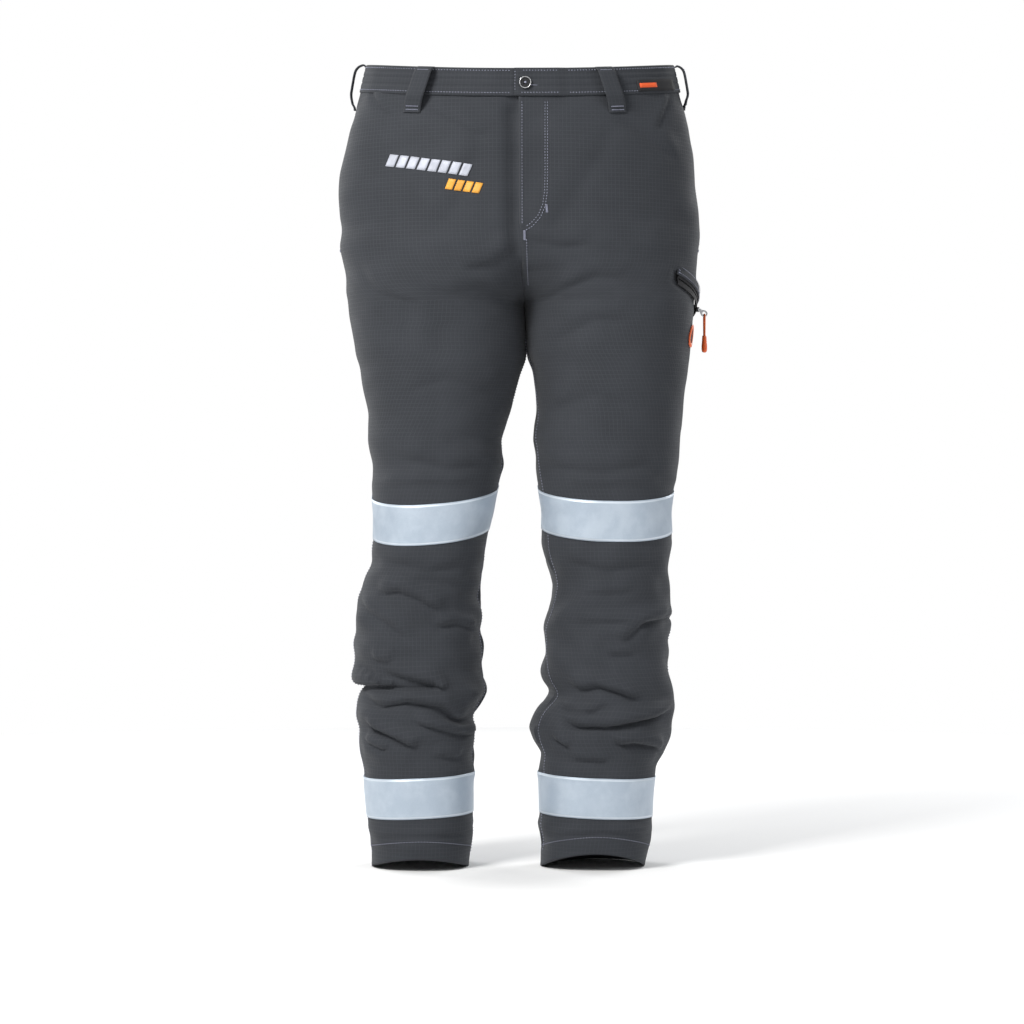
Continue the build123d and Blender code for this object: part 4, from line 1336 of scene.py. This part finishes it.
def make_puller():
    curve = bpy.data.curves.new("puller_cord", "CURVE")
    curve.dimensions = "3D"
    spline = curve.splines.new("NURBS")
    spline.points.add(len(CORD_ROUTE) - 1)
    for point, (u, v) in zip(spline.points, CORD_ROUTE):
        p = (HANG + THROUGH * u + np.array([0, 0, v])) * 0.001
        point.co = (*p, 1.0)
    spline.order_u = 3
    spline.use_endpoint_u = True
    curve.bevel_depth = CORD_D / 2
    curve.bevel_resolution = 4
    curve.resolution_u = 10
    curve.materials.append(CORD)
    cord = bpy.data.objects.new("puller_cord", curve)
    bpy.context.collection.objects.link(cord)
    belong(cord, "thigh_puller_cord", "thigh_puller")

    side = np.cross(THROUGH, np.array([0, 0, 1.0]))
    top = HANG + np.array([0, 0, -GRIP_DROP])
    profile = [
        (0.0, 0.5), (0.0, 0.72), (0.8, 0.9), (2.2, 0.95), (2.9, 0.86), (3.6, 0.97), (5.0, 1.0), (5.7, 0.9),
        (6.4, 1.02), (7.8, 1.05), (8.5, 0.95), (9.2, 1.07), (10.8, 1.12), (13.5, 1.17), (16.5, 1.18),
        (19.0, 1.1), (20.6, 0.9), (21.3, 0.5), (21.4, 0.2),
    ]
    verts, faces, around = [], [], 28
    for drop, share in profile:
        for k in range(around):
            a = 2 * math.pi * k / around
            ring = THROUGH * GRIP_A * share * math.cos(a) + side * GRIP_B * share * math.sin(a)
            verts.append(top + ring - np.array([0, 0, drop]))
    for i in range(len(profile) - 1):
        for k in range(around):
            k1 = (k + 1) % around
            faces.append((i * around + k, (i + 1) * around + k, (i + 1) * around + k1, i * around + k1))
    faces.append(tuple(range(around)))
    faces.append(tuple(((len(profile) - 1) * around + k) for k in range(around))[::-1])
    grip = new_object("puller_grip", verts, faces, ORANGE)
    fix_normals(grip)
    bake(grip, ("SUBSURF", {"levels": 1, "render_levels": 1}))
    belong(grip, "thigh_puller_grip", "thigh_puller")


def dress_cad():
    """Materials for the hard parts that keep their CAD shape."""
    looks = {
        "waist_button": BLACK, "button_thread": THREAD, "buttonhole_stitching": THREAD,
        "fly_zip_tape_right": DARK, "fly_zip_tape_left": DARK,
        "fly_zip_coil_right": BLACK, "fly_zip_coil_left": BLACK,
        "fly_zip_stops": STEEL, "fly_zip_slider": STEEL, "fly_zip_pull": STEEL,
        "thigh_zip_tapes": LABEL, "thigh_zip_coils": BLACK, "thigh_zip_stops": GUNMETAL,
        "thigh_zip_slider": GUNMETAL, "thigh_zip_tab": STEEL,
    }
    for name, material in looks.items():
        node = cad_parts[name]
        for place in node.material_slots:
            place.material = material


def make_button_details():
    """A pale rim round the button and the thread that crosses its holes."""
    low, high = (np.array(c) * 1000 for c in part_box("waist_button"))
    centre, face = (low + high) / 2, low[1]
    verts, faces, around, tube = [], [], 40, 8
    for k in range(around):
        a = 2 * math.pi * k / around
        for m in range(tube):
            b = 2 * math.pi * m / tube
            r = 6.75 + 0.62 * math.cos(b)
            y = face + 0.1 - 0.42 * math.sin(b)
            verts.append((centre[0] + r * math.cos(a), y, centre[2] + r * math.sin(a)))
    for k in range(around):
        for m in range(tube):
            k1, m1 = (k + 1) % around, (m + 1) % tube
            faces.append((k * tube + m, k * tube + m1, k1 * tube + m1, k1 * tube + m))
    rim = new_object("button_rim", verts, faces, STEEL)
    fix_normals(rim)
    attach(rim, "button")
    n = np.array([0, -1.0, 0])
    runs = []
    for dx, dz in ((1, 1), (1, -1)):
        for shift in (-0.35, 0.35):
            a = np.array([centre[0] - 1.9 * dx + shift, face + 1.1, centre[2] - 1.9 * dz])
            b = np.array([centre[0] + 1.9 * dx + shift, face + 1.1, centre[2] + 1.9 * dz])
            runs.append([(a + (b - a) * t, n) for t in (0, 0.5, 1)])
    stitches("button_cross_thread", runs, pitch=5.3, length=3.9, radius=0.4, body="button")


make_stage()
legs = {side: Leg(side) for side in SIDES}
for leg in legs.values():
    leg.rest_normals = leg.normals()
    sculpt(leg)
seat_zip(legs["left"])
join_sides(legs)
trace_cloth()
make_panels()
make_inner_layers()
make_tapes()
make_waistband()
make_loops()
make_fly()
make_tacks()
make_seam_stitching()
make_back_pockets()
make_trims()
make_thigh_pocket()
make_puller()
make_button_details()
dress_cad()
